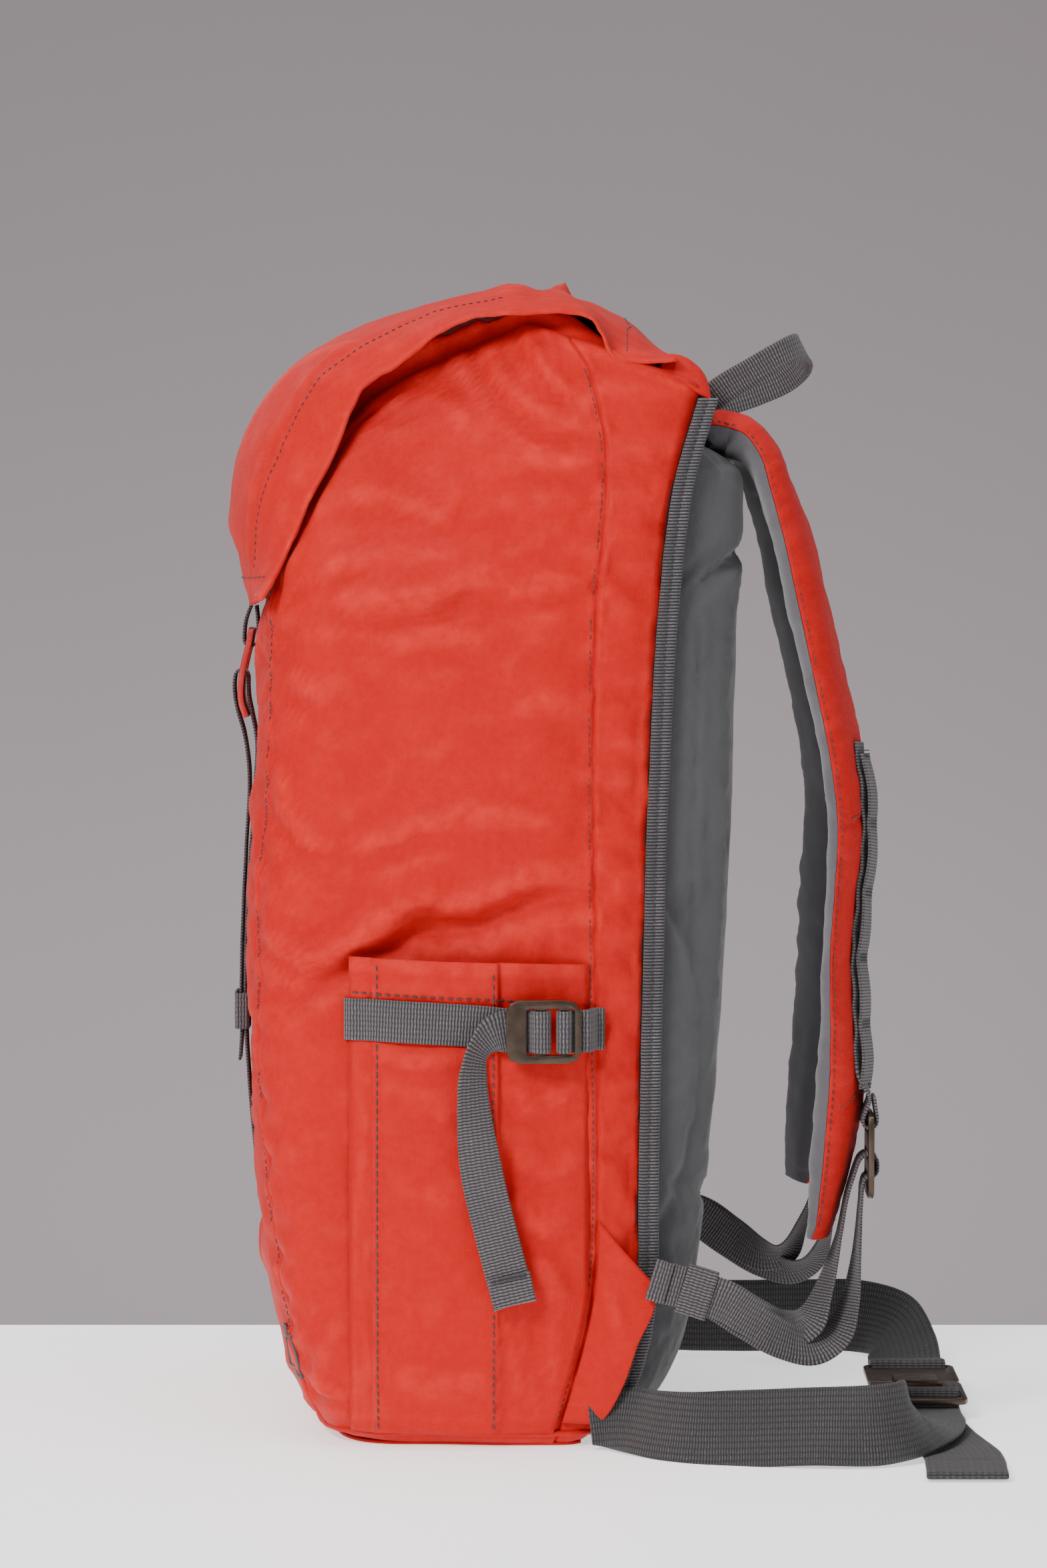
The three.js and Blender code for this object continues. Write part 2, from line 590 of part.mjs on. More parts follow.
// Short sewn loop that holds the buckle's rear bar to the rear seam: both layers pass under the rim.
function compressionAnchor() {
  const { plate } = sideLayers();
  const [barFront, barRear] = [SIDE_SLOTS[1][1], SIDE_SLOTS[2][0]];
  const over = plate - SIDE_BUCKLE.thickness - 1.5;
  const inPlate = plate - SIDE_BUCKLE.thickness / 2;
  const [under, nearWall] = [plate + 1.3, plate + 3.1];
  const { z } = SIDE_BUCKLE;
  const w = NARROW_WEB;
  const wallY = -sideReach(67, z);
  const rows = [[68, wallY - 1.5, z], [65, wallY - 2.6, z], [60, nearWall, z], [50, nearWall, z],
    [barFront - 1.6, plate + 2.2, z], [barFront - 1.9, inPlate, z], [barFront - 0.6, over, z],
    [barRear + 0.4, over, z], [barRear + 1.8, inPlate, z], [barRear + 2.3, plate + 0.5, z],
    [57, under, z], [62, under - 0.2, z], [66.5, wallY - 4.4, z], [70, wallY - 3.8, z]];
  return webbing(rows.map((row) => [...row, 0, 0, w]), 44, 1.3);
}

// ---------------------------------------------------------------- shoulder strap

// Rows of [x, z, distance from the middle plane, width, thickness] down the strap.
const strapRows = [[116.5, 492, 64, 58, 7], [127, 491.5, 65, 62, 13], [138, 487, 66, 65, 16],
  [147, 476, 68, 66, 17], [153, 461, 70, 67, 17], [161, 438, 73, 68, 17], [169, 405, 77, 67, 18],
  [177, 370, 81, 65, 17], [185, 332, 85, 62, 16], [189, 300, 88, 60, 15], [187.5, 270, 91, 58, 14],
  [185, 236, 94, 56, 13], [185, 200, 97, 54, 16], [184, 170, 99, 50, 18], [180, 138, 100, 44, 16],
  [176, 112, 100, 38, 11], [174, 99, 100, 32, 7]];
const strapPath = new THREE.CatmullRomCurve3(strapRows.map(([x, z, y]) => vec(x, -y, z)));
const strapSize = new THREE.CatmullRomCurve3(
  strapRows.map(([, , , width, thickness]) => vec(width, thickness, 0)),
);

// Ring of points across the strap: face +1 is away from the wearer, -1 towards the wearer.
// The two heights are measured from the strap's middle layer, as functions of the share of the
// half width.
function strapRing(t, reach, outerHeight, innerHeight) {
  const point = strapPath.getPoint(t);
  const along = strapPath.getTangent(t);
  const across = vec(0, -1, 0).addScaledVector(along, along.y).normalize();
  const out = across.clone().cross(along).normalize();
  const size = strapSize.getPoint(t);
  const place = (share, height) =>
    point.clone().addScaledVector(across, share * size.x / 2).addScaledVector(out, height);
  const shares = [-reach, -0.6, 0, 0.6, reach];
  const bulge = (share) => (size.y / 2 - 1.7) * (1 - Math.abs(share) ** 2.6);
  return [...shares.map((share) => place(share, outerHeight(bulge(share)))),
    ...shares.reverse().map((share) => place(share, innerHeight(bulge(share))))];
}

const strapStations = steps(15);
const strapLoft = (stations, reach, outerHeight, innerHeight) => loft(
  stations.map((t) => strapRing(t, reach, outerHeight, innerHeight)),
);
const strapCover = () => strapLoft(strapStations, 1, (h) => h + 1.7, (h) => h + 0.25);
const strapLining = () => strapLoft(strapStations, 1, (h) => -h - 0.25, (h) => -h - 1.7);
const foamHeight = (h) => Math.max(0.2, 0.8 * h - 0.6);
const strapFoam = () => strapLoft(strapStations.slice(1, -1), 0.86, foamHeight, (h) => -foamHeight(h));

// Height of the strap's outer face above its middle layer, and its frame, at one place down the strap.
function strapOutside(t, lift) {
  const ring = strapRing(t, 1, (h) => h + 1.7 + lift, (h) => h);
  return ring[2];
}

const strapAt = (z) => {
  let low = 0.25;
  let high = 1;
  for (let i = 0; i < 30; i += 1) {
    const middle = (low + high) / 2;
    if (strapPath.getPoint(middle).z > z) low = middle;
    else high = middle;
  }
  return low;
};

// Webbing sewn flat down the strap, with a folded tab at its end that holds the ladder lock.
function strapWebbing() {
  const w = NARROW_WEB;
  const flat = [335, 305, 270, 236, 200, 176].map((z) => {
    const point = strapOutside(strapAt(z), 2);
    return [point.x, point.y, point.z, 0, -w, 0];
  });
  const x = LADDER.x;
  const tab = [[198.2, 167], [196.2, 161], [194.9, 156.5], [195.6, 153.4], [x, 152.7], [201.2, 154.2],
    [201.7, 158], [200.9, 163], [200.4, 167.5]];
  return webbing([...flat, ...tab.map(([px, z]) => [px, -STRAP_Y, z, 0, -w, 0])], 38, 1.3);
}

// Second webbing over the first, tacked down at intervals so that it makes small loops.
function daisyChain() {
  const w = NARROW_WEB - 1;
  const tacks = [330, 298, 266, 234, 202, 178];
  const rows = tacks.flatMap((z, i) => {
    const tacked = strapOutside(strapAt(z), 3.8);
    const row = [[tacked.x, tacked.y, tacked.z, 0, -w, 0]];
    if (i < tacks.length - 1) {
      const between = (z + tacks[i + 1]) / 2;
      const lifted = strapOutside(strapAt(between), 6.3);
      row.push([lifted.x, lifted.y, lifted.z, 0, -w, 0]);
    }
    return row;
  });
  return webbing(rows, 28, 1.3);
}

function ladderLock() {
  const { x, top, height, width, thickness } = LADDER;
  const slotWidth = NARROW_WEB + 2;
  const slots = [[0, 12.9, slotWidth, 5.6], [0, 0, slotWidth, 4.6], [0, -10.6, slotWidth, 4.6]];
  return slottedPlate(width, height, 5, slots, thickness).rotateX(Math.PI / 2).rotateZ(Math.PI / 2)
    .translate(x - thickness / 2, -STRAP_Y, top - height / 2);
}

// One webbing from the hip wing up through the ladder lock and back down to the keeper.
function adjuster() {
  const y = -STRAP_Y;
  const throughLock = [[194.3, 116], [194.9, 124.5], [196.3, 128.6], [198.5, 129.3], [200.6, 129.8],
    [201.9, 132], [202, 134.5], [201.9, 137], [200.4, 139.1], [198.5, 139.6], [196.2, 139.6],
    [193.6, 137.5], [190.8, 130], [187, 117]];
  const rows = [
    [94.5, -134.8, 82.5, 6, 0, 19], [108, -135.2, 79.5, 6, 0, 19], [122, -134.9, 74.5, 7, 0, 18.5],
    [138, -131, 64, 10, 1, 17], [155, -124, 53, 6, 6, 17], [170, -116, 48, -3, 11, 16],
    [182, -109, 53, -10, 15, 8], [189, -104, 68, -7, 18, 2], [192.5, -101, 92, -2, 19.9, 0],
    ...throughLock.map(([x, z]) => [x, y, z, 0, 20, 0]), [183.4, -100.5, 100, -1, 19.9, 0],
    [178.5, -102.5, 82, -4, 19, 4], [170, -108, 67, -4, 15, 12], [157, -117, 64, 5, 9, 16.5],
    [142, -130, 69, 8, 2, 17.5], [126, -136.9, 74.4, 7, 0, 18.5], [112, -137.4, 78.6, 6, 0, 19],
    [100, -137.3, 82, 6, 0, 19]];
  return webbing(rows, 66, 1.3);
}

// Elastic loop that holds the adjuster's tail against its fixed part.
function adjusterKeeper() {
  const length = 15;
  const shape = roundedRectangle(23.8, 7.2, 1.2);
  shape.holes.push(roundedRectangle(22.2, 5.6, 0.8, 0, 0, THREE.Path));
  return new THREE.ExtrudeGeometry(shape, { depth: length, bevelEnabled: false, curveSegments: 1 })
    .translate(0, 0, -length / 2).rotateY(Math.PI / 2 + 0.31).translate(114, -136.2, 77.7);
}

// ---------------------------------------------------------------- haul loop and waist belt

function haulLoop() {
  const lean = [-8, 0, 17];
  const half = [[124.5, 20, 502], [132, 22, 507], [146, 22.5, 513.5], [160, 19, 519.5], [169, 10, 524.5]];
  const rows = [...half.map(([x, y, z]) => [x, -y, z, ...lean]), [171.5, 0, 526, ...lean],
    ...half.slice().reverse().map(([x, y, z]) => [x, y, z, ...lean])];
  return webbing(rows, 30, 2.2);
}

// Right half of the belt: out of the wing, round the corner, through the buckle and back as
// the loose tail.
function beltRight() {
  const x = BELT_BUCKLE.x;
  const w = BELT_WEB;
  const flat = ([y, z]) => [x, y, z, -w, 0, 0];
  const throughFrame = [[-51, 5.2], [-47.6, 5.9], [-46.2, 8.2], [-46, 10.5], [-44.4, 12.9],
    [-40.4, 13.5], [-36.4, 12.9], [-34.8, 10.5], [-34.5, 8], [-34.6, 5], [-36.6, 2.4], [-42, 1.6]];
  const rows = [
    [69, -136.5, 24, 0, 0, w], [72, -147, 22.5, 0, 6, 37], [86, -156, 20.5, 0, 14, 35],
    [128, -159, 17.5, 0, 20, 32], [168, -166, 18.5, 0, 17, 34], [198, -171, 20, 0, 4, w],
    [213, -163, 21, -5, 3, 37], [220, -140, 19, -24, 5, 29], [225, -112, 11, -36, 2, 11],
    [228, -86, 6.2, -w, 0, 0], [x, -62, 5.3, -w, 0, 0], ...throughFrame.map(flat),
    [x + 0.5, -50, 1.6, -w, 0, 0], [x + 1, -62, 1.6, -w, 0, 0], [x + 4, -95, 1.6, -w, 0, 0],
    [x + 12, -150, 1.6, -w, 3, 0], [x + 10, -208, 1.9, -w, 0, 0]];
  return webbing(rows, 60, BELT_THICK);
}

// Left half: from the buckle's hook round the far corner to the left wing.
function beltLeft() {
  const x = BELT_BUCKLE.x;
  const w = BELT_WEB;
  const roundBar = [[54, 9.4], [47, 12.6], [41, 13.2], [37.2, 12.4], [36.2, 9.5], [37.2, 6.6], [41, 5.6],
    [50, 5.6]];
  const rows = [
    ...roundBar.map(([y, z]) => [x, y, z, w, 0, 0]), [x + 1, 75, 6, w, 0, 0], [x + 1, 98, 11, 35, 0, 13],
    [225, 122, 18, 20, 6, 31], [208, 139, 20, 3, 3, 38], [180, 142, 20, 0, 0, w], [151, 140, 20, 0, 0, w],
    [115, 143, 20, 0, 0, w], [84, 149, 21, 0, -2, w], [73, 145, 22.5, 0, -3, w],
    [69, 136.5, 24, 0, 0, w]];
  return webbing(rows, 60, BELT_THICK);
}

// Frame with two slots for the right webbing and a window for the hook.
function beltFrame() {
  const { x, width, low, thickness } = BELT_BUCKLE;
  const slots = [[0, -16, BELT_WEB + 1.6, 5.6], [0, -4, BELT_WEB + 1.6, 5.6], [0, 14.5, 26, 9]];
  return slottedPlate(width, 50, 5, slots, thickness).translate(x, -30.4, low);
}

// Plate on the left webbing with a tongue that lies over the frame's end bar.
function beltHook() {
  const { x, width, low, thickness } = BELT_BUCKLE;
  const plate = slottedPlate(width, 48, 5, [[0, 17, BELT_WEB + 1.6, 5.6]],
    thickness).translate(x, 19.2, low);
  const top = low + thickness;
  const outline = [[0.5, top - 1], [0.5, top + 3], [-17, top + 3], [-17, top + 0.5], [-4, top + 0.5],
    [-4, top - 1]];
  const shape = new THREE.Shape(outline.map(([y, z]) => new THREE.Vector2(y, z)));
  const tongue = new THREE.ExtrudeGeometry(shape, { depth: 22, bevelEnabled: false })
    .rotateX(Math.PI / 2).rotateZ(Math.PI / 2).translate(x - 11, 0, 0);
  return join(plate, tongue);
}

// ---------------------------------------------------------------- materials and assembly

const material = (color, roughness, metalness = 0) =>
  new THREE.MeshStandardMaterial({ color, roughness, metalness });
const canvas = material(0xc9342c, 0.85);
const liningCloth = material(0x3a3a40, 0.9);
const ribbedTape = material(0x55555c, 0.8);
const spacerMesh = material(0x55595f, 0.95);
const strapLiningCloth = material(0x6f6c76, 0.95);
const blackWebbing = material(0x3a3b3f, 0.8);
const foam = material(0x2f3033, 0.95);
const sheetPlastic = material(0xd8d8d2, 0.5);
const bronze = material(0x6b5d49, 0.4, 0.9);
const redAnodised = material(0xb5202a, 0.35, 0.8);
const lockPlastic = material(0x1c1c1e, 0.5);
const springSteel = material(0x9a9a98, 0.35, 1);
const patchCloth = material(0x26262a, 0.8);

const daypack = new THREE.Group();

function add(name, geometry, look) {
  const mesh = new THREE.Mesh(geometry, look);
  mesh.name = name;
  daypack.add(mesh);
}

function addPair(name, geometry, look) {
  add(`${name}_right`, geometry, look);
  add(`${name}_left`, mirrored(geometry), look);
}

add('base_panel', basePanel(), canvas);
add('front_panel', wallPanel(-FRONT_SEAM, FRONT_SEAM, 8, 8), canvas);
addPair('side_panel', wallPanel(FRONT_SEAM, REAR_SEAM, 10, 8), canvas);
addPair('rear_gusset', wallPanel(REAR_SEAM, BACK_EDGE, 3, 8), canvas);
add('back_wall', backSheet(-WALL, WALL, 3.4, BACK_LEVELS), liningCloth);
add('frame_sheet', backSheet(0.5, 1.6, 14, BACK_LEVELS.slice(2, -3)), sheetPlastic);
add('back_foam', backFoam(), foam);
add('back_mesh_cover', backCover(), spacerMesh);
addPair('edge_binding', edgeBinding(), ribbedTape);
add('top_yoke', topYoke(), canvas);
add('collar', collar(), canvas);
add('collar_hem', collarHem(), canvas);
add('drawcord', drawcord(), blackWebbing);
add('cord_lock_body', cordLockBody(), lockPlastic);
add('cord_lock_button', cordLockButton(), lockPlastic);
add('cord_lock_spring', cordLockSpring(), springSteel);
add('lid', lidPanel(), canvas);
add('lid_strap_loop', lidStrapLoop(), blackWebbing);
add('front_hook', frontHook(), redAnodised);
add('front_strap', frontStrap(), blackWebbing);
add('front_strap_keeper', frontStrapKeeper(), blackWebbing);
add('brand_patch', brandPatch(), patchCloth);
addPair('side_pocket', sidePocket(), canvas);
addPair('hip_wing', hipWing(), canvas);
addPair('compression_strap', compressionStrap(), blackWebbing);
addPair('compression_anchor', compressionAnchor(), blackWebbing);
addPair('compression_buckle', compressionBuckle(), bronze);
addPair('strap_cover', strapCover(), canvas);
addPair('strap_lining', strapLining(), strapLiningCloth);
addPair('strap_foam', strapFoam(), foam);
addPair('strap_webbing', strapWebbing(), blackWebbing);
addPair('daisy_chain', daisyChain(), blackWebbing);
addPair('ladder_lock', ladderLock(), bronze);
addPair('adjuster', adjuster(), blackWebbing);
addPair('adjuster_keeper', adjusterKeeper(), blackWebbing);
add('haul_loop', haulLoop(), blackWebbing);
add('waist_belt_right', beltRight(), blackWebbing);
add('waist_belt_left', beltLeft(), blackWebbing);
add('waist_buckle_frame', beltFrame(), bronze);
add('waist_buckle_hook', beltHook(), bronze);

export default daypack;
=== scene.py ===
import json
import math

import bpy
import bmesh
import numpy as np
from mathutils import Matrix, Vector

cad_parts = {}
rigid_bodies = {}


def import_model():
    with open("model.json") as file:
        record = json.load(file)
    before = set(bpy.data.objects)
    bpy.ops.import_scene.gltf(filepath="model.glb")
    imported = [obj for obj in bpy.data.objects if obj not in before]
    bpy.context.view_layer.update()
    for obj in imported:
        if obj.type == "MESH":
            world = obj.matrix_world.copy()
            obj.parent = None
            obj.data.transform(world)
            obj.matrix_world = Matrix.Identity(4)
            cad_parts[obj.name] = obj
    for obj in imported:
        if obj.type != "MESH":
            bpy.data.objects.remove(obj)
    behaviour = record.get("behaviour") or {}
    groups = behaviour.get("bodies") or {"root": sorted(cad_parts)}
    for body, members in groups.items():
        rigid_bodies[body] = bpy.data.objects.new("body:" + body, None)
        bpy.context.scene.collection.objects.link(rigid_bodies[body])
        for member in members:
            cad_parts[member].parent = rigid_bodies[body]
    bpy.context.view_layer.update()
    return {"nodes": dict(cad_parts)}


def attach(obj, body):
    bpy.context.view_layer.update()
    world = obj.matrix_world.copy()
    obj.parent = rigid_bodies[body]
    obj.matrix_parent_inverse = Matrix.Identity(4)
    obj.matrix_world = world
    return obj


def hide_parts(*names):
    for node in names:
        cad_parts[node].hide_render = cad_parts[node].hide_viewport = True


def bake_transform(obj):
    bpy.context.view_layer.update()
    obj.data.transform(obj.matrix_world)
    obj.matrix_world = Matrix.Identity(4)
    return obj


for leftover in list(bpy.data.objects):
    bpy.data.objects.remove(leftover)
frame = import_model()

MM = 0.001
NAMES = {1: "right", -1: "left"}  # the wearer's right is on -Y, written as side 1

# ---------------------------------------------------------------- camera and light

camera_data = bpy.data.cameras.new("camera")
camera_data.lens = 119.5
camera_data.sensor_width = 36
camera = bpy.data.objects.new("camera", camera_data)
camera.location = (0.0313, -2.6, 0.48)
camera.rotation_euler = (math.radians(86.3), 0, 0)
bpy.context.scene.collection.objects.link(camera)
bpy.context.scene.camera = camera


def area_light(name, place, target, size, power, color=(1, 1, 1)):
    data = bpy.data.lights.new(name, "AREA")
    data.shape = "RECTANGLE"
    data.size, data.size_y = size
    data.energy = power
    data.color = color
    light = bpy.data.objects.new(name, data)
    light.location = place
    light.rotation_euler = (Vector(target) - Vector(place)).to_track_quat("-Z", "Y").to_euler()
    bpy.context.scene.collection.objects.link(light)


area_light("key", (-1.2, -2.1, 1.9), (0.0, 0, 0.3), (0.8, 0.8), 82, (1.0, 0.985, 0.97))
area_light("fill", (1.9, -2.0, 0.9), (0.05, 0, 0.25), (1.4, 1.4), 8, (0.97, 0.97, 1.0))
area_light("far_side", (-1.3, 2.1, 1.5), (0.0, 0, 0.25), (1.4, 1.4), 13, (0.98, 0.98, 1.0))
area_light("top", (0.0, -0.2, 2.3), (0.0, 0, 0.2), (1.5, 1.2), 34)
area_light("backdrop", (-0.21, 4.64, -1.43), (-0.21, 6.5, 1.7), (4.1, 0.93), 70, (1.0, 0.97, 0.98))

world = bpy.data.worlds.new("studio")
world.use_nodes = True
world.node_tree.nodes["Background"].inputs["Color"].default_value = (0.86, 0.88, 0.92, 1)
world.node_tree.nodes["Background"].inputs["Strength"].default_value = 0.28
bpy.context.scene.world = world

# ---------------------------------------------------------------- curves and noise


def through(rows):
    """Smooth curve through rows of (position, value), held at its ends."""
    xs = np.array([r[0] for r in rows], float)
    ys = np.array([r[1] for r in rows], float)
    slopes = np.empty(len(xs))
    slopes[1:-1] = (ys[2:] - ys[:-2]) / (xs[2:] - xs[:-2])
    slopes[0] = (ys[1] - ys[0]) / (xs[1] - xs[0])
    slopes[-1] = (ys[-1] - ys[-2]) / (xs[-1] - xs[-2])

    def at(position):
        q = np.clip(np.asarray(position, float), xs[0], xs[-1])
        i = np.clip(np.searchsorted(xs, q, "right") - 1, 0, len(xs) - 2)
        span = xs[i + 1] - xs[i]
        t = (q - xs[i]) / span
        rise = ys[i + 1] - ys[i]
        bend1 = slopes[i] * span - rise
        bend2 = rise - slopes[i + 1] * span
        return (1 - t) * ys[i] + t * ys[i + 1] + t * (1 - t) * ((1 - t) * bend1 + t * bend2)

    return at


def spline(points, t):
    """Centripetal Catmull-Rom curve through the points, at shares t of its run."""
    p = np.asarray(points, float)
    n = len(p)
    q = np.clip(np.asarray(t, float), 0, 1) * (n - 1)
    i = np.minimum(q.astype(int), n - 2)
    w = (q - i)[:, None]
    ext = np.vstack([2 * p[0] - p[1], p, 2 * p[-1] - p[-2]])
    p0, p1, p2, p3 = (ext[i + k] for k in range(4))

    def gap(a, b):
        return np.sqrt(np.linalg.norm(a - b, axis=1))[:, None]

    d1 = gap(p1, p2)
    d1 = np.where(d1 < 1e-4, 1, d1)
    d0, d2 = gap(p0, p1), gap(p2, p3)
    d0 = np.where(d0 < 1e-4, d1, d0)
    d2 = np.where(d2 < 1e-4, d1, d2)
    t1 = ((p1 - p0) / d0 - (p2 - p0) / (d0 + d1) + (p2 - p1) / d1) * d1
    t2 = ((p2 - p1) / d1 - (p3 - p1) / (d1 + d2) + (p3 - p2) / d2) * d1
    return (p1 + t1 * w + (-3 * p1 + 3 * p2 - 2 * t1 - t2) * w ** 2
            + (2 * p1 - 2 * p2 + t1 + t2) * w ** 3)


def evenly(points, spacing, *others):
    """Points of a dense curve resampled at an even spacing, with other rows that run along it."""
    gaps = np.linalg.norm(np.diff(points, axis=0), axis=1)
    run = np.concatenate([[0], np.cumsum(gaps)])
    count = max(2, int(round(run[-1] / spacing)) + 1)
    at = np.linspace(0, run[-1], count)
    sampled = [np.stack([np.interp(at, run, rows[:, k]) for k in range(rows.shape[1])], axis=1)
               for rows in (points, *others)]
    return at, sampled


def lattice(ix, iy, seed):
    h = (ix.astype(np.int64) * 374761393 + iy.astype(np.int64) * 668265263 + seed * 974634777) & 0x7FFFFFFF
    h = ((h ^ (h >> 13)) * 1274126177) & 0x7FFFFFFF
    return ((h ^ (h >> 16)) & 0xFFFF) / 32767.5 - 1


def noise(x, y, seed=0):
    """Smooth noise from -1 to 1 with features of about one unit."""
    x, y = np.broadcast_arrays(np.asarray(x, float), np.asarray(y, float))
    ix, iy = np.floor(x), np.floor(y)
    fx, fy = x - ix, y - iy
    sx, sy = fx * fx * (3 - 2 * fx), fy * fy * (3 - 2 * fy)
    a, b = lattice(ix, iy, seed), lattice(ix + 1, iy, seed)
    c, d = lattice(ix, iy + 1, seed), lattice(ix + 1, iy + 1, seed)
    return (a + (b - a) * sx) * (1 - sy) + (c + (d - c) * sx) * sy


def fractal(x, y, seed=0, octaves=3):
    return sum(noise(x * 2 ** k, y * 2 ** k, seed + 7 * k) / 2 ** k for k in range(octaves))


def bump(distance, width):
    return np.exp(-(distance / width) ** 2)


def ridge(x, y, points, height, width, skew=0.0):
    """A cloth fold along a line of points: a rise on the line with a softer hollow beside it.
    skew above 0 puts the hollow on the line's lower side."""
    line = np.asarray(points, float)
    t_dense = np.linspace(0, 1, 24)
    dense = spline(line, t_dense)
    best = np.full(np.shape(x), 1e9)
    share = np.zeros(np.shape(x))
    side = np.zeros(np.shape(x))
    for k in range(len(dense) - 1):
        a, b = dense[k], dense[k + 1]
        ab = b - a
        s = np.clip(((x - a[0]) * ab[0] + (y - a[1]) * ab[1]) / (ab @ ab + 1e-9), 0, 1)
        dx, dy = x - a[0] - s * ab[0], y - a[1] - s * ab[1]
        d = np.hypot(dx, dy)
        closer = d < best
        best = np.where(closer, d, best)
        share = np.where(closer, (k + s) / (len(dense) - 1), share)
        side = np.where(closer, np.sign(ab[0] * dy - ab[1] * dx), side)
    taper = np.sin(np.pi * np.clip(0.06 + 0.88 * share, 0, 1)) ** 0.7
    signed = best * side
    fold = bump(signed, width) - skew * bump(signed + 1.25 * width, 0.8 * width)
    return height * taper * fold


# ---------------------------------------------------------------- materials


class Shader:
    """A material's node tree, written as short calls."""

    def __init__(self, name, color, roughness, metallic=0.0, specular=0.5, sheen=0.0, sheen_roughness=0.5,
                 coat=0.0):
        self.material = bpy.data.materials.new(name)
        self.material.use_nodes = True
        self.material.diffuse_color = (*color, 1)
        self.tree = self.material.node_tree
        self.surface = self.tree.nodes["Principled BSDF"]
        sockets = self.surface.inputs
        sockets["Base Color"].default_value = (*color, 1)
        sockets["Roughness"].default_value = roughness
        sockets["Metallic"].default_value = metallic
        sockets["Specular IOR Level"].default_value = specular
        sockets["Sheen Weight"].default_value = sheen
        sockets["Sheen Roughness"].default_value = sheen_roughness
        sockets["Coat Weight"].default_value = coat
        self.height = None

    def node(self, kind, inputs=None, **settings):
        made = self.tree.nodes.new(kind)
        for key, value in settings.items():
            setattr(made, key, value)
        for key, value in (inputs or {}).items():
            if isinstance(value, bpy.types.NodeSocket):
                self.tree.links.new(value, made.inputs[key])
            else:
                made.inputs[key].default_value = value
        return made

    def place(self, kind="Object", scale=(1, 1, 1), turn=(0, 0, 0)):
        coords = self.node("ShaderNodeTexCoord").outputs[kind]
        return self.node("ShaderNodeMapping",
                         {"Vector": coords, "Scale": scale, "Rotation": turn}).outputs[0]

    def noise(self, where, scale, detail=3.0, roughness=0.55):
        return self.node("ShaderNodeTexNoise", {"Vector": where, "Scale": scale, "Detail": detail,
                                                "Roughness": roughness}).outputs["Fac"]

    def math(self, operation, a, b=0.5, clamp=False):
        return self.node("ShaderNodeMath", {0: a, 1: b}, operation=operation, use_clamp=clamp).outputs[0]

    def remap(self, value, low, high, to_low=0.0, to_high=1.0):
        return self.node("ShaderNodeMapRange", {"Value": value, "From Min": low, "From Max": high,
                                                "To Min": to_low, "To Max": to_high}).outputs[0]

    def mix(self, factor, a, b, mode="MIX"):
        made = self.node("ShaderNodeMix", data_type="RGBA", blend_type=mode)
        for socket, value in ((made.inputs[0], factor), (made.inputs[6], a), (made.inputs[7], b)):
            if isinstance(value, bpy.types.NodeSocket):
                self.tree.links.new(value, socket)
            else:
                socket.default_value = value if isinstance(value, float) else (*value[:3], 1)
        return made.outputs[2]

    def attribute(self, name):
        return self.node("ShaderNodeAttribute", attribute_name=name).outputs["Fac"]

    def color(self, socket):
        self.tree.links.new(socket, self.surface.inputs["Base Color"])

    def rough(self, socket):
        self.tree.links.new(socket, self.surface.inputs["Roughness"])

    def bump(self, height, distance, strength=1.0):
        inputs = {"Height": height, "Distance": distance, "Strength": strength}
        if self.height is not None:
            inputs["Normal"] = self.height
        self.height = self.node("ShaderNodeBump", inputs).outputs[0]
        self.tree.links.new(self.height, self.surface.inputs["Normal"])


def canvas_material(name, color, pale_tone_and_highlight, deep):
    """Waxed cotton: fine plain weave, blotchy wax, and paler creases and edges that are partly rubbed wax
    and partly painted highlight.
    """
    s = Shader(name, color, 0.66, specular=0.14, sheen=0.04, sheen_roughness=0.45)
    where = s.place()
    blotch = s.noise(where, 16, 4, 0.6)
    mottled = s.mix(s.remap(blotch, 0.32, 0.7), deep, color)
    grain = s.noise(where, 260, 5, 0.7)
    mottled = s.mix(s.remap(grain, 0.35, 0.75, 0.0, 0.22), mottled, pale_tone_and_highlight)
    speck = s.noise(where, 1500, 2, 0.6)
    mottled = s.mix(s.remap(speck, 0.35, 0.7, 0.0, 0.16), mottled, deep)
    # painted highlight, partly rubbed wax: the paler colour goes where the mesh attribute marks ridges and
    # edges
    rubbed_and_highlight = s.math("MULTIPLY", s.attribute("wear_and_highlight"), s.remap(s.noise(where, 90, 4, 0.65), 0.3, 0.75), True)
    s.color(s.mix(rubbed_and_highlight, mottled, pale_tone_and_highlight))
    s.rough(s.remap(blotch, 0.3, 0.7, 0.56, 0.7))
    weave_x = s.node("ShaderNodeTexWave", {"Vector": s.place(scale=(1, 1, 0)), "Scale": 620,
                                           "Distortion": 0.6},
                     bands_direction="DIAGONAL").outputs["Fac"]
    weave_z = s.node("ShaderNodeTexWave", {"Vector": where, "Scale": 520, "Distortion": 0.5},
                     bands_direction="Z").outputs["Fac"]
    s.bump(s.math("ADD", weave_x, weave_z), 0.00006, 0.5)
    s.bump(grain, 0.00035, 0.7)
    s.bump(s.noise(where, 55, 4, 0.6), 0.0012, 0.5)
    return s.material


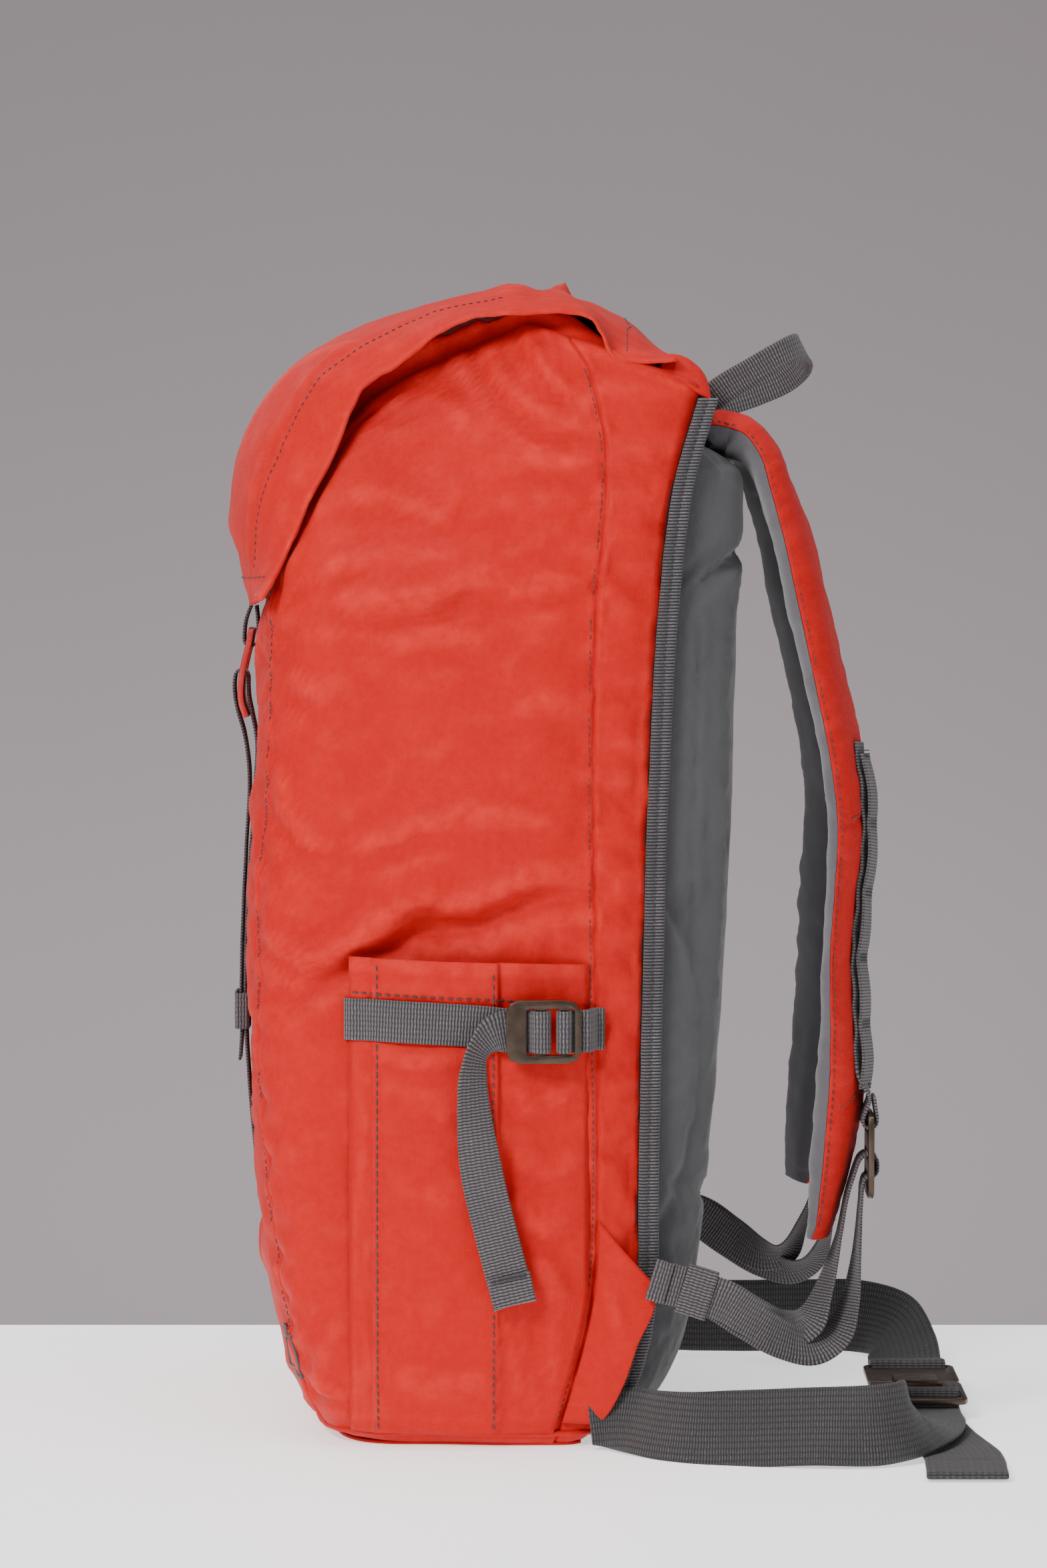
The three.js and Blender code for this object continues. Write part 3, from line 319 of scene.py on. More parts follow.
def woven_material(name, color, light, dark, rib=1.5, row=2.4, along=0.4, roughness=0.72, fleck=0.35):
    """Webbing or ribbed tape: ribs across the strip, fainter rows along it, and paler flecks."""
    s = Shader(name, color, roughness, specular=0.3, sheen=0.15)
    where = s.place("UV", scale=(1000, 1000, 1))
    axes = s.node("ShaderNodeSeparateXYZ", {"Vector": where}).outputs
    stagger = s.math("MULTIPLY", s.math("SINE", s.math("MULTIPLY", axes["X"], math.tau / (2 * row))), 0.35)
    across = s.math("SINE", s.math("ADD", s.math("MULTIPLY", axes["Y"], math.tau / rib), stagger))
    rows = s.math("SINE", s.math("MULTIPLY", axes["X"], math.tau / row))
    ribs = s.remap(across, -0.75, 0.5)
    lines = s.remap(rows, -0.9, 0.1, 1 - along, 1.0)
    level = s.math("MULTIPLY", ribs, lines, True)
    base = s.mix(level, dark, color)
    flecks = s.noise(where, 0.9, 2, 0.7)
    base = s.mix(s.math("MULTIPLY", s.remap(flecks, 0.54, 0.70, 0.0, fleck), level, True), base, light)
    slow = s.noise(s.place(), 30, 3)
    base = s.mix(s.remap(slow, 0.3, 0.7, 0.0, 0.25), base, dark)
    s.color(base)
    s.bump(level, 0.0003, 0.9)
    s.bump(s.noise(where, 0.35, 3), 0.0003, 0.5)
    return s.material


def plain_cloth(name, color, light, scale, depth, roughness=0.9, sheen=0.25):
    """Knitted or brushed cloth with a small regular texture."""
    s = Shader(name, color, roughness, specular=0.15, sheen=sheen, sheen_roughness=0.6)
    where = s.place()
    cells = s.node("ShaderNodeTexVoronoi", {"Vector": where, "Scale": scale},
                   feature="SMOOTH_F1").outputs["Distance"]
    soft = s.noise(where, 24, 4, 0.6)
    fine = s.noise(where, scale * 0.8, 3, 0.7)
    base = s.mix(s.remap(soft, 0.3, 0.7, 0.0, 0.5), color, light)
    s.color(s.mix(s.remap(fine, 0.35, 0.75, 0.0, 0.35), base, light))
    s.bump(cells, depth, 0.8)
    s.bump(fine, depth * 0.7, 0.6)
    return s.material


def metal(name, color, pale_tone_and_highlight, roughness, metallic=0.85):
    """Anodised metal with faint brushing, and paler edges that are partly edge wear and partly painted edge
    highlight.
    """
    s = Shader(name, color, roughness, metallic=metallic, specular=0.5)
    where = s.place()
    fine = s.noise(s.place(scale=(1, 1, 14)), 260, 3)
    blotch = s.noise(where, 120, 3)
    # painted edge highlight, partly edge wear: sharp edges are mixed towards the paler colour
    edge = s.math("MULTIPLY", s.remap(s.node("ShaderNodeNewGeometry").outputs["Pointiness"], 0.5, 0.62),
                  0.6, True)
    base = s.mix(s.remap(blotch, 0.35, 0.7, 0.0, 0.5), color, pale_tone_and_highlight)
    s.color(s.mix(edge, base, pale_tone_and_highlight))
    s.rough(s.remap(fine, 0.3, 0.7, roughness - 0.07, roughness + 0.1))
    s.bump(fine, 0.00004, 0.4)
    return s.material


def moulded(name, color, roughness):
    s = Shader(name, color, roughness, specular=0.4)
    where = s.place()
    fine = s.noise(where, 900, 3)
    s.color(s.mix(s.remap(s.noise(where, 160, 3), 0.3, 0.7, 0.0, 0.4), color,
                  tuple(min(1, c * 1.7 + 0.01) for c in color)))
    s.rough(s.remap(fine, 0.3, 0.7, roughness - 0.08, roughness + 0.12))
    s.bump(fine, 0.00008, 0.5)
    return s.material


RED = (0.47, 0.0042, 0.0032)
canvas = canvas_material("waxed_canvas", RED, (0.72, 0.036, 0.024), (0.44, 0.003, 0.002))
webbing_dark = woven_material("webbing", (0.135, 0.121, 0.130), (0.42, 0.39, 0.40), (0.020, 0.018, 0.020))
belt_dark = woven_material("belt_webbing", (0.064, 0.060, 0.063), (0.24, 0.23, 0.24), (0.014, 0.013, 0.014),
                           1.3, 3.0, 0.6)
tape_grey = woven_material("ribbed_tape", (0.105, 0.096, 0.105), (0.27, 0.255, 0.27), (0.005, 0.005, 0.006),
                           1.55, 9.4, 0.3,
                           fleck=0.6)
mesh_grey = plain_cloth("spacer_mesh", (0.0437, 0.0437, 0.0476), (0.0702, 0.0694, 0.0741), 900, 0.0002)
lining_grey = plain_cloth("strap_lining", (0.068, 0.062, 0.074), (0.098, 0.090, 0.104), 1300, 0.00015)
inner_cloth = plain_cloth("inner_cloth", (0.05, 0.05, 0.055), (0.08, 0.08, 0.085), 1200, 0.0001)
thread = woven_material("thread", (0.078, 0.0702, 0.078), (0.187, 0.187, 0.195), (0.039, 0.039, 0.0429),
                        0.8, 0.8)
bronze = metal("bronze_anodised", (0.0468, 0.0312, 0.0226), (0.117, 0.0858, 0.064), 0.36)
red_metal = metal("red_anodised", (0.46, 0.026, 0.030), (0.62, 0.09, 0.08), 0.34, 0.7)
steel = metal("spring_wire", (0.55, 0.55, 0.53), (0.7, 0.7, 0.68), 0.3, 1.0)
lock_black = moulded("lock_plastic", (0.022, 0.022, 0.025), 0.5)
sheet_white = moulded("sheet_plastic", (0.72, 0.72, 0.68), 0.5)

# ---------------------------------------------------------------- meshes


def make(name, verts, faces, look, body=None, uvs=None, wear_and_highlight=None, smooth=True, turn=True):
    """A piece from vertices in millimetres. uvs are per vertex, in millimetres."""
    mesh = bpy.data.meshes.new(name)
    mesh.from_pydata((np.asarray(verts, float) * MM).tolist(), [], [list(map(int, f)) for f in faces])
    mesh.validate()
    if turn:
        bm = bmesh.new()
        bm.from_mesh(mesh)
        bmesh.ops.recalc_face_normals(bm, faces=bm.faces)
        bm.to_mesh(mesh)
        bm.free()
    if uvs is not None:
        layer = mesh.uv_layers.new(name="UVMap")
        index = np.empty(len(mesh.loops), np.int32)
        mesh.loops.foreach_get("vertex_index", index)
        layer.data.foreach_set("uv", (np.asarray(uvs, float)[index] * MM).ravel())
    # per-vertex mask for paler ridges and edges: partly rubbed wear, partly painted highlight
    layer = mesh.attributes.new("wear_and_highlight", "FLOAT", "POINT")
    values = np.zeros(len(mesh.vertices)) if wear_and_highlight is None else np.clip(np.asarray(wear_and_highlight, float).ravel(), 0,
            1)
    layer.data.foreach_set("value", values.astype(np.float32))
    mesh.polygons.foreach_set("use_smooth", [smooth] * len(mesh.polygons))
    mesh.materials.append(look)
    piece = bpy.data.objects.new(name, mesh)
    bpy.context.scene.collection.objects.link(piece)
    if body:
        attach(piece, body)
    return piece


def grid_normals(grid, loop=False):
    """Unit normals of a grid of points (rows, columns, 3): along columns cross along rows."""
    if loop:
        du = np.roll(grid, -1, axis=1) - np.roll(grid, 1, axis=1)
    else:
        du = np.gradient(grid, axis=1)
    dv = np.gradient(grid, axis=0)
    n = np.cross(du, dv)
    return n / np.maximum(np.linalg.norm(n, axis=2, keepdims=True), 1e-9)


def grid_faces(rows, columns, loop=False, offset=0):
    r = np.arange(rows - 1)[:, None]
    c = np.arange(columns if loop else columns - 1)[None, :]
    nxt = (c + 1) % columns
    quads = np.stack([r * columns + c, r * columns + nxt, (r + 1) * columns + nxt, (r + 1) * columns + c],
                     axis=-1)
    return quads.reshape(-1, 4) + offset


def shell(name, grid, thickness, look, body=None, loop=False, wear_and_highlight=None, uvs=None):
    """A closed sheet under a grid of points. A positive thickness goes against the grid's normals."""
    rows, columns = grid.shape[:2]
    inner = grid - grid_normals(grid, loop) * np.asarray(thickness, float).reshape(-1, 1, 1)
    verts = np.concatenate([grid.reshape(-1, 3), inner.reshape(-1, 3)])
    n = rows * columns
    outer = grid_faces(rows, columns, loop)
    faces = [outer, outer[:, ::-1] + n]
    last = columns if loop else columns - 1
    c = np.arange(last)
    nxt = (c + 1) % columns
    faces.append(np.stack([nxt, c, c + n, nxt + n], axis=1))
    top = (rows - 1) * columns
    faces.append(np.stack([top + c, top + nxt, top + nxt + n, top + c + n], axis=1))
    if not loop:
        r = np.arange(rows - 1) * columns
        faces.append(np.stack([r, r + columns, r + columns + n, r + n], axis=1))
        e = r + columns - 1
        faces.append(np.stack([e + columns, e, e + n, e + columns + n], axis=1))
    both = lambda a: None if a is None else np.concatenate([np.asarray(a, float).reshape(n, -1)] * 2)
    return make(name, verts, np.concatenate(faces), look, body, uvs=both(uvs), wear_and_highlight=both(wear_and_highlight))


def settle(name, grid, held, growth, pressure, limit, loop=False, stride=2, frames=18):
    """Lets a grid of cloth, a little too large for its seams, puff and crease.
    held is 1 where it is sewn down."""
    rows, columns = grid.shape[:2]
    keep_r = np.unique(np.append(np.arange(0, rows, stride), rows - 1))
    keep_c = np.arange(0, columns, stride) if loop else np.unique(np.append(np.arange(0, columns, stride),
            columns - 1))
    rest = grid[np.ix_(keep_r, keep_c)] * MM
    mesh = bpy.data.meshes.new(name)
    mesh.from_pydata(rest.reshape(-1, 3).tolist(), [], grid_faces(len(keep_r), len(keep_c), loop).tolist())
    cloth = bpy.data.objects.new(name, mesh)
    scene = bpy.context.scene
    scene.collection.objects.link(cloth)
    pins = cloth.vertex_groups.new(name="pins")
    for index, weight in enumerate(np.broadcast_to(held, (rows, columns))[np.ix_(keep_r, keep_c)].ravel()):
        pins.add([index], float(weight), "REPLACE")
    modifier = cloth.modifiers.new("cloth", "CLOTH")
    settings = modifier.settings
    settings.quality = 5
    settings.mass = 0.15
    settings.tension_stiffness = settings.compression_stiffness = 12
    settings.shear_stiffness = 5
    settings.bending_stiffness = 0.12
    settings.air_damping = 4
    settings.use_pressure = True
    settings.uniform_pressure_force = pressure
    settings.shrink_min = settings.shrink_max = -growth
    settings.vertex_group_mass = "pins"
    settings.effector_weights.gravity = 0
    modifier.collision_settings.use_collision = False
    modifier.collision_settings.use_self_collision = False
    modifier.point_cache.frame_start, modifier.point_cache.frame_end = 1, frames
    for frame_number in range(1, frames + 1):
        scene.frame_set(frame_number)
    settled = cloth.evaluated_get(bpy.context.evaluated_depsgraph_get()).data
    moved = np.empty(len(mesh.vertices) * 3, np.float32)
    settled.vertices.foreach_get("co", moved)
    moved = (moved.reshape(rest.shape).astype(float) - rest) / MM
    scene.frame_set(1)
    bpy.data.objects.remove(cloth)
    reach = np.linalg.norm(moved, axis=2, keepdims=True)
    moved = moved * limit * np.tanh(reach / limit) / np.maximum(reach, 1e-6)
    if loop:
        moved = np.concatenate([moved, moved[:, :1]], axis=1)
        keep_c = np.append(keep_c, columns)
    wide = np.stack([[np.interp(np.arange(columns), keep_c, row[:, k]) for k in range(3)] for row in moved])
    tall = np.stack([[np.interp(np.arange(rows), keep_r, wide[:, k, c]) for c in range(columns)]
                     for k in range(3)])
    return grid + tall.transpose(2, 1, 0)


def unit(v):
    return v / np.maximum(np.linalg.norm(v, axis=-1, keepdims=True), 1e-9)


def tangents(points):
    return unit(np.gradient(points, axis=0))


SHARES = np.array([-1, -0.95, -0.85, -0.5, 0, 0.5, 0.85, 0.95, 1])
EDGE = np.array([0.45, 0.9, 1.0, 0.93, 0.97, 0.93, 1.0, 0.9, 0.45])


def strip_sections(rows, spacing, thickness, wave, seed):
    rows = np.asarray(rows, float)
    t = np.linspace(0, 1, 40 * len(rows))
    run, (path, width) = evenly(spline(rows[:, :3], t), spacing, spline(rows[:, 3:], t))
    along = tangents(path)
    half = np.linalg.norm(width, axis=1, keepdims=True) / 2
    across = unit(width - along * np.sum(width * along, axis=1, keepdims=True))
    up = np.cross(along, across)
    sag = wave * np.stack([fractal(run / 14 + 3 * s, np.full_like(run, s * 0.7), seed, 2) for s in SHARES],
                          axis=1)
    ramp = np.minimum(1, np.minimum(run, run[-1] - run) / 8)[:, None]
    lift = sag * ramp
    place = path[:, None] + across[:, None] * (SHARES[None, :, None] * half[:, None]) + up[:,
            None] * lift[..., None]
    top = place + up[:, None] * (EDGE[None, :, None] * thickness / 2)
    low = place - up[:, None] * (EDGE[None, :, None] * thickness / 2)
    return run, half, top, low


def strip_mesh(rows, spacing=2.0, thickness=1.5, wave=0.0, seed=1):
    """Vertices, faces and uvs of webbing along rows of (path point, width vector)."""
    run, half, top, low = strip_sections(rows, spacing, thickness, wave, seed)
    ring = np.concatenate([top, low[:, ::-1]], axis=1)
    n, m = ring.shape[:2]
    u = np.concatenate([SHARES, SHARES[::-1]])[None] * half
    uvs = np.stack([u, np.broadcast_to(run[:, None], u.shape)], axis=-1)
    faces = grid_faces(n, m, True).tolist()
    k = len(SHARES)
    last = (n - 1) * m
    for i in range(k - 1):
        faces.append([i + 1, i, m - 1 - i, m - 2 - i])
        faces.append([last + i, last + i + 1, last + m - 2 - i, last + m - 1 - i])
    return ring.reshape(-1, 3), faces, uvs.reshape(-1, 2)


def joined(parts):
    """Several (vertices, faces, uvs) as one."""
    verts, faces, uvs, start = [], [], [], 0
    for v, f, w in parts:
        verts.append(np.asarray(v, float))
        uvs.append(np.asarray(w, float))
        faces += [[start + int(i) for i in face] for face in f]
        start += len(v)
    return np.concatenate(verts), faces, np.concatenate(uvs)


def webbing(name, rows, look=None, body=None, node=None, slot="webbing", extra=(), **options):
    parts = [strip_mesh(rows, **options), *extra]
    verts, faces, uvs = joined(parts)
    piece = make(name, verts, faces, look or webbing_dark, body, uvs=uvs)
    if node:
        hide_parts(*([node] if isinstance(node, str) else node))
    return piece


def flip(rows, side):
    """Rows of points, and of width vectors if they have them, on the given side of the pack."""
    out = np.array(rows, float)
    for k in range(1, out.shape[1], 3):
        out[:, k] *= side
    return out


def tube_mesh(path, radius, sides=8, closed=False, spacing=None):
    path = np.asarray(path, float)
    if spacing:
        _, (path,) = evenly(path, spacing)
    along = tangents(path) if not closed else unit(np.roll(path, -1, 0) - np.roll(path, 1, 0))
    helper = np.where(np.abs(along[:, 2:3]) > 0.9, np.array([[1.0, 0, 0]]), np.array([[0, 0, 1.0]]))
    a = unit(np.cross(along, helper))
    b = np.cross(along, a)
    turn = 2 * np.pi * np.arange(sides) / sides
    r = np.broadcast_to(np.asarray(radius, float), (len(path),))[:, None, None]
    ring = path[:, None] + r * (np.cos(turn)[None, :, None] * a[:, None] + np.sin(turn)[None, :, None]
                                * b[:, None])
    faces = grid_faces(len(path) + (1 if closed else 0), sides, True) if not closed else []
    if closed:
        n = len(path)
        faces = [[(i % n) * sides + k, (i % n) * sides + (k + 1) % sides, ((i + 1) % n) * sides
                  + (k + 1) % sides,
                  ((i + 1) % n) * sides + k] for i in range(n) for k in range(sides)]
    else:
        faces = faces.tolist() + [list(range(sides))[::-1],
                                  [(len(path) - 1) * sides + k for k in range(sides)]]
    v = np.broadcast_to(np.arange(len(path))[:, None], (len(path), sides))
    u = np.broadcast_to(turn[None], (len(path), sides))
    return ring.reshape(-1, 3), faces, np.stack([u, v], axis=-1).reshape(-1, 2)


def stitches(name, lines, body, pitch=4.4, length=3.3, radius=0.42, look=None, seed=3):
    """Rows of thread: each line is (points, outward normals), with points on the cloth's surface."""
    parts = []
    for k, (points, normals) in enumerate(lines):
        run, (path, out) = evenly(np.asarray(points, float), 0.5, np.asarray(normals, float))
        out = unit(out)
        count = int(run[-1] / pitch)
        for j in range(count):
            wobble = noise(j * 1.7, k * 3.1, seed) * 0.35
            s = (j + 0.5 + 0.1 * wobble) * pitch
            at = s + np.linspace(-0.5, 0.5, 5) * length * (1 + 0.25 * wobble)
            centre = np.stack([np.interp(at, run, path[:, c]) for c in range(3)], axis=1)
            normal = np.stack([np.interp(at, run, out[:, c]) for c in range(3)], axis=1)
            lift = np.array([-0.35, 0.22, 0.36, 0.22, -0.35])[:, None]
            parts.append(tube_mesh(centre + normal * lift, radius * np.array([0.6, 0.95, 1, 0.95, 0.6]), 5))
    verts, faces, uvs = joined(parts)
    return make(name, verts, faces, look or thread, body, uvs=uvs)


def refine(stops, step, near, fine=(0.9, 1.8, 2.9, 4.4, 6.4)):
    """Positions from the first stop to the last, even but closer beside the stops in near."""
    out = set()
    for a, b in zip(stops[:-1], stops[1:]):
        lows = [a + f for f in fine if a in near and a + f < b - 1]
        highs = [b - f for f in fine if b in near and b - f > a + 1]
        low, high = (lows or [a])[-1], (highs or [b])[-1]
        inner = np.linspace(low, high, max(2, int(round((high - low) / step)) + 1))
        out |= set(np.round([a, b, *lows, *highs, *inner], 4).tolist())
    return np.array(sorted(out))

# ---------------------------------------------------------------- the body's wall, in millimetres

front_x = through([[0, -66], [12, -77], [47, -88], [100, -98], [190, -105], [260, -104], [340, -99],
                   [400, -98],
                   [445, -91], [475, -78], [515, -55], [540, -42]])
rear_x = through([[0, 60], [30, 76], [70, 85], [130, 86], [300, 90], [400, 95], [460, 102], [506, 115]])
seam_x = through([[0, 46], [70, 64], [130, 67], [300, 65], [400, 66], [470, 71], [515, 63], [540, 48]])
front_half = through([[0, 118], [40, 126], [380, 127], [420, 125], [450, 119], [480, 110], [515, 100],
                      [540, 92]])
rear_half = through([[0, 120], [40, 127], [420, 127], [460, 125], [500, 121], [525, 117], [540, 110]])
pad_x = through([[6, 80], [24, 98], [51, 110], [90, 117], [180, 127], [296, 134], [407, 136.5], [450, 137],
                 [474, 134], [484, 118]])
FLARE = 0.95
FRONT_SEAM, REAR_SEAM, BACK_EDGE = 2, 6, 8
MOUTH_X, MOUTH_REACH_X, MOUTH_REACH_Y, MOUTH_Z = 8, 46, 66, 520


def outline(index, z):
    """x, y on the body's outer surface: index 0 is the front's middle.
    Indices are positive towards the wearer's right."""
    index, z = np.broadcast_arrays(np.asarray(index, float), np.asarray(z, float))
    shape = index.shape
    index, z = index.ravel(), z.ravel()
    f, s, r, wf, wr = front_x(z), seam_x(z), rear_x(z), front_half(z), rear_half(z)
    xs = np.stack([f, f + 2, f + 9, f + 26, f + 60, (f + 60 + s) / 2, s, (s + r) / 2 + 2, r], axis=1)
    ys = np.stack([0 * z, 0.4 * wf, 0.8 * wf, 0.97 * wf, wf, (wf + wr) / 2 + 1, wr, 0.985 * wr, FLARE * wr],
                  axis=1)
    px = np.concatenate([xs[:, :0:-1], xs], axis=1)
    py = np.concatenate([ys[:, :0:-1], -ys], axis=1)
    q = np.clip(index + BACK_EDGE, 0, 2 * BACK_EDGE)
    i = np.minimum(q.astype(int), 2 * BACK_EDGE - 1)
    w = q - i
    rows = np.arange(len(z))

    def curve(p):
        a, b, c, d = (p[rows, np.clip(i + k, 0, 2 * BACK_EDGE)] for k in (-1, 0, 1, 2))
        v0, v1 = (c - a) / 2, (d - b) / 2
        return (2 * b - 2 * c + v0 + v1) * w ** 3 + (-3 * b + 3 * c - 2 * v0 - v1) * w ** 2 + v0 * w + b

    return curve(px).reshape(shape), curve(py).reshape(shape)


def side_index(x, z):
    """Wall index on the right side where the outer surface has this x."""
    x, z = np.broadcast_arrays(np.asarray(x, float), np.asarray(z, float))
    low, high = np.full(x.shape, 2.0), np.full(x.shape, 8.0)
    for _ in range(22):
        middle = (low + high) / 2
        under = outline(middle, z)[0] < x
        low, high = np.where(under, middle, low), np.where(under, high, middle)
    return low


def side_reach(x, z):
    return -outline(side_index(x, z), z)[1]


dense_index = np.linspace(-BACK_EDGE, BACK_EDGE, 1601)
dense_xy = np.stack(outline(dense_index, 250), axis=1)
dense_run = np.concatenate([[0], np.cumsum(np.linalg.norm(np.diff(dense_xy, axis=0), axis=1))])
run_of = lambda index: np.interp(index, dense_index, dense_run)
index_of = lambda run: np.interp(run, dense_run, dense_index)

wall_top = through([[0, 470], [1, 471], [2, 480], [3, 507], [4, 526], [5, 536], [6, 531], [7, 518],
                    [8, 509]])

# Folds on each side panel, as seen from that side: ([x, z] along the fold, height, width, hollow).
SIDE_FOLDS = {
    1: [
        ([(-78, 229), (-64, 237), (-38, 250), (-20, 260), (3, 262), (36, 275), (60, 276)], 4.6, 9, 1.15),
        ([(-92, 245), (-78, 238), (-66, 232)], 2.8, 6, 0.9),
        ([(-52, 252), (-30, 262), (-6, 270)], 1.7, 5, 0.8),
        ([(-46, 291), (-25, 297), (-6, 303)], 2.2, 7, 0.9),
        ([(-10, 300), (20, 305), (50, 298)], 1.5, 9, 0.6),
        ([(-94, 338), (-84, 312), (-73, 296)], 2.0, 7, 0.7),
        ([(-92, 318), (-78, 298), (-60, 290)], 1.2, 5, 0.6),
        ([(-48, 404), (-30, 405), (-9, 409), (6, 416), (26, 416)], 2.7, 7, 1.1),
        ([(-64, 418), (-50, 424), (-36, 426)], 1.9, 6, 0.9),
        ([(22, 410), (40, 413), (60, 416)], 1.9, 6, 0.9),
        ([(-78, 447), (-50, 455), (-20, 452), (-4, 447)], 1.7, 9, 0.8),
        ([(-30, 384), (-8, 389), (14, 388)], 1.3, 7, 0.7),
        ([(20, 352), (42, 358), (62, 352)], 1.2, 8, 0.5),
        ([(-86, 372), (-70, 366), (-50, 368)], 1.3, 9, 0.5),
        ([(10, 530), (26, 505), (40, 494), (58, 488)], 2.6, 6, 0.9),
        ([(-8, 534), (4, 516), (14, 506)], 1.8, 7, 0.6),
        ([(34, 532), (46, 512), (62, 500)], 2.2, 4.5, 0.8),
        ([(18, 468), (40, 474), (64, 470)], 1.4, 8, 0.6),
        ([(-60, 60), (-66, 36), (-62, 20)], 1.8, 6, 0.7),
        ([(-84, 46), (-70, 30), (-54, 25)], 2.2, 5, 0.8),
        ([(-82, 30), (-66, 18), (-52, 16)], 1.6, 4, 0.7),
    ],
    -1: [
        ([(-70, 240), (-40, 252), (-8, 250), (30, 262), (58, 260)], 3.6, 9, 0.9),
        ([(-52, 300), (-20, 312), (16, 306)], 2.2, 8, 0.8),
        ([(-84, 352), (-60, 344), (-30, 352)], 1.8, 8, 0.7),
        ([(-20, 396), (10, 404), (44, 398)], 2.4, 7, 0.9),
        ([(-72, 426), (-40, 436), (-14, 430)], 1.8, 8, 0.7),
        ([(0, 526), (22, 506), (50, 494)], 2.2, 6, 0.8),
        ([(-84, 46), (-70, 30), (-54, 25)], 2.0, 5, 0.8),
    ],
}
FRONT_FOLDS = [
    ([(-88, 392), (-50, 384), (-14, 376)], 2.0, 9, 0.7), ([(14, 378), (50, 388), (84, 398)], 2.0, 9, 0.7),
    ([(-80, 300), (-40, 310), (-12, 300)], 1.6, 10, 0.6), ([(16, 262), (52, 250), (88, 258)], 1.8, 9, 0.7),
    ([(-86, 214), (-44, 204), (-12, 210)], 1.5, 8, 0.6), ([(12, 150), (48, 160), (86, 152)], 1.6, 10, 0.6),
    ([(-84, 92), (-40, 84), (-10, 92)], 1.8, 9, 0.7), ([(-70, 34), (-20, 28), (40, 34), (80, 28)], 2.2, 7,
                                                       0.8),
]


lid_middle = [(104.2, 524.3), (97.8, 529), (84, 541.5), (66, 550.5), (49, 556.5), (24, 558.5), (-2, 553.5),
              (-26, 547),
              (-61, 535), (-87, 517), (-103, 495), (-112, 472), (-113.5, 450), (-110, 425), (-103.5, 402.5)]
lid_side = [(104.2, 522.5), (97, 521.5), (84, 521), (74, 522.6), (69, 534), (63, 541.5), (43, 544.5),
            (21, 543), (4, 541.5),
            (-11, 534), (-27, 521), (-46, 508), (-51.5, 497), (-57, 482), (-69, 457), (-82, 431),
            (-95, 408.5)]


def under_lid(x, y):
    """Height of the lid's sheet over a point."""
    over = lambda rows: np.interp(x, [a for a, _ in rows[::-1]], [b for _, b in rows[::-1]])
    share = np.clip(np.abs(y) / 113, 0, 1) ** 3.1
    return over(lid_middle) * (1 - share) + over(lid_side) * share


def wall_folds(index, x, y, z):
    """Outward push of the wall's cloth at each point."""
    run = run_of(index)
    push = 1.5 * fractal(run / 52, z / 38, 11) + 0.55 * fractal(run / 19, z / 13, 23)
    for side, folds in SIDE_FOLDS.items():
        on_side = 1 / (1 + np.exp(-(side * index - 2.35) * 7)) / (1 + np.exp((side * index - 6.25) * 9))
        total = sum(ridge(x, z, pts, 1.45 * h, 0.85 * w, k) for pts, h, w, k in folds)
        push += on_side * total
    on_front = 1 / (1 + np.exp((np.abs(index) - 1.85) * 8))
    push += on_front * sum(ridge(y, z, pts, h, w, k) for pts, h, w, k in FRONT_FOLDS)
    edges = np.clip(np.minimum(z / 12, (BACK_EDGE - np.abs(index)) / 0.35), 0, 1)
    push *= edges
    for seam in (-REAR_SEAM, -FRONT_SEAM, FRONT_SEAM, REAR_SEAM):
        away = (run - run_of(float(seam))) * np.sign(seam)
        pucker = fractal(z / 8.5, np.sign(away) * 0.5 + seam, 31 + seam, 2)
        push += 0.75 * pucker * np.exp(-np.abs(away) / 9) * (np.abs(away) > 0.5)
        push += 0.55 * np.exp(-((away + 4) / 3.2) ** 4) - 1.25 * bump(away, 0.95)
    rim = np.abs(BACK_EDGE - np.abs(index))
    push += 0.5 * fractal(z / 7, np.sign(index), 47, 2) * np.exp(-rim / 0.35)
    under = np.clip(1 - z / 7.5, 0, 1)
    push -= 3.2 * under ** 2
    return push


def seam_columns():
    seams = {float(run_of(float(k))) for k in (-REAR_SEAM, -FRONT_SEAM, FRONT_SEAM, REAR_SEAM)}
    stops = [0.0, *sorted(seams), float(dense_run[-1])]
    return index_of(refine(stops, 3.6, seams))


columns = seam_columns()
levels = np.concatenate([[0.0, 0.006, 0.013, 0.02], np.linspace(0.03, 1, 138)])
top = wall_top(np.abs(columns))
wall_z = 0.8 + levels[:, None] * (top[None] - 0.8)
wall_index = np.broadcast_to(columns[None], wall_z.shape)
wx, wy = outline(wall_index, wall_z)
base_grid = np.stack([wx, wy, wall_z], axis=-1)
push = wall_folds(wall_index, wx, wy, wall_z)
hidden = 1 / (1 + np.exp((under_lid(wx, 113) - 8 - wall_z) / 3)) * (wx < 66)
push = push * (1 - 0.6 * hidden) - 1.6 * hidden
wall_grid = base_grid + grid_normals(base_grid) * push[..., None]
run_here = run_of(columns)
from_seam = np.min([np.abs(run_here - run_of(float(k))) for k in (-8, -6, -2, 2, 6, 8)], axis=0)[None]
pocket_cover = ((np.abs(columns)[None] > 2.6) & (np.abs(columns)[None] < 6) & (wall_z < 236)).astype(float)
under_strap = (np.abs(columns)[None] < 0.8) & (wall_z > 95) & (wall_z < 350)
sewn = np.clip(np.maximum(1 - from_seam / 5, np.maximum(1 - wall_z / 14, (wall_z - top[None] + 12) / 8)), 0,
               1)
sewn = np.maximum(sewn, np.maximum(under_strap, hidden))
wall_grid = settle("wall_rest", wall_grid, np.maximum(sewn, pocket_cover), growth=0.035, pressure=1.2,
                   limit=3.2)
crown = wall_grid[-1]
to_mouth = unit(np.array([MOUTH_X, 0, 0]) - crown * [1, 1, 0]) * [1, 1, 0]
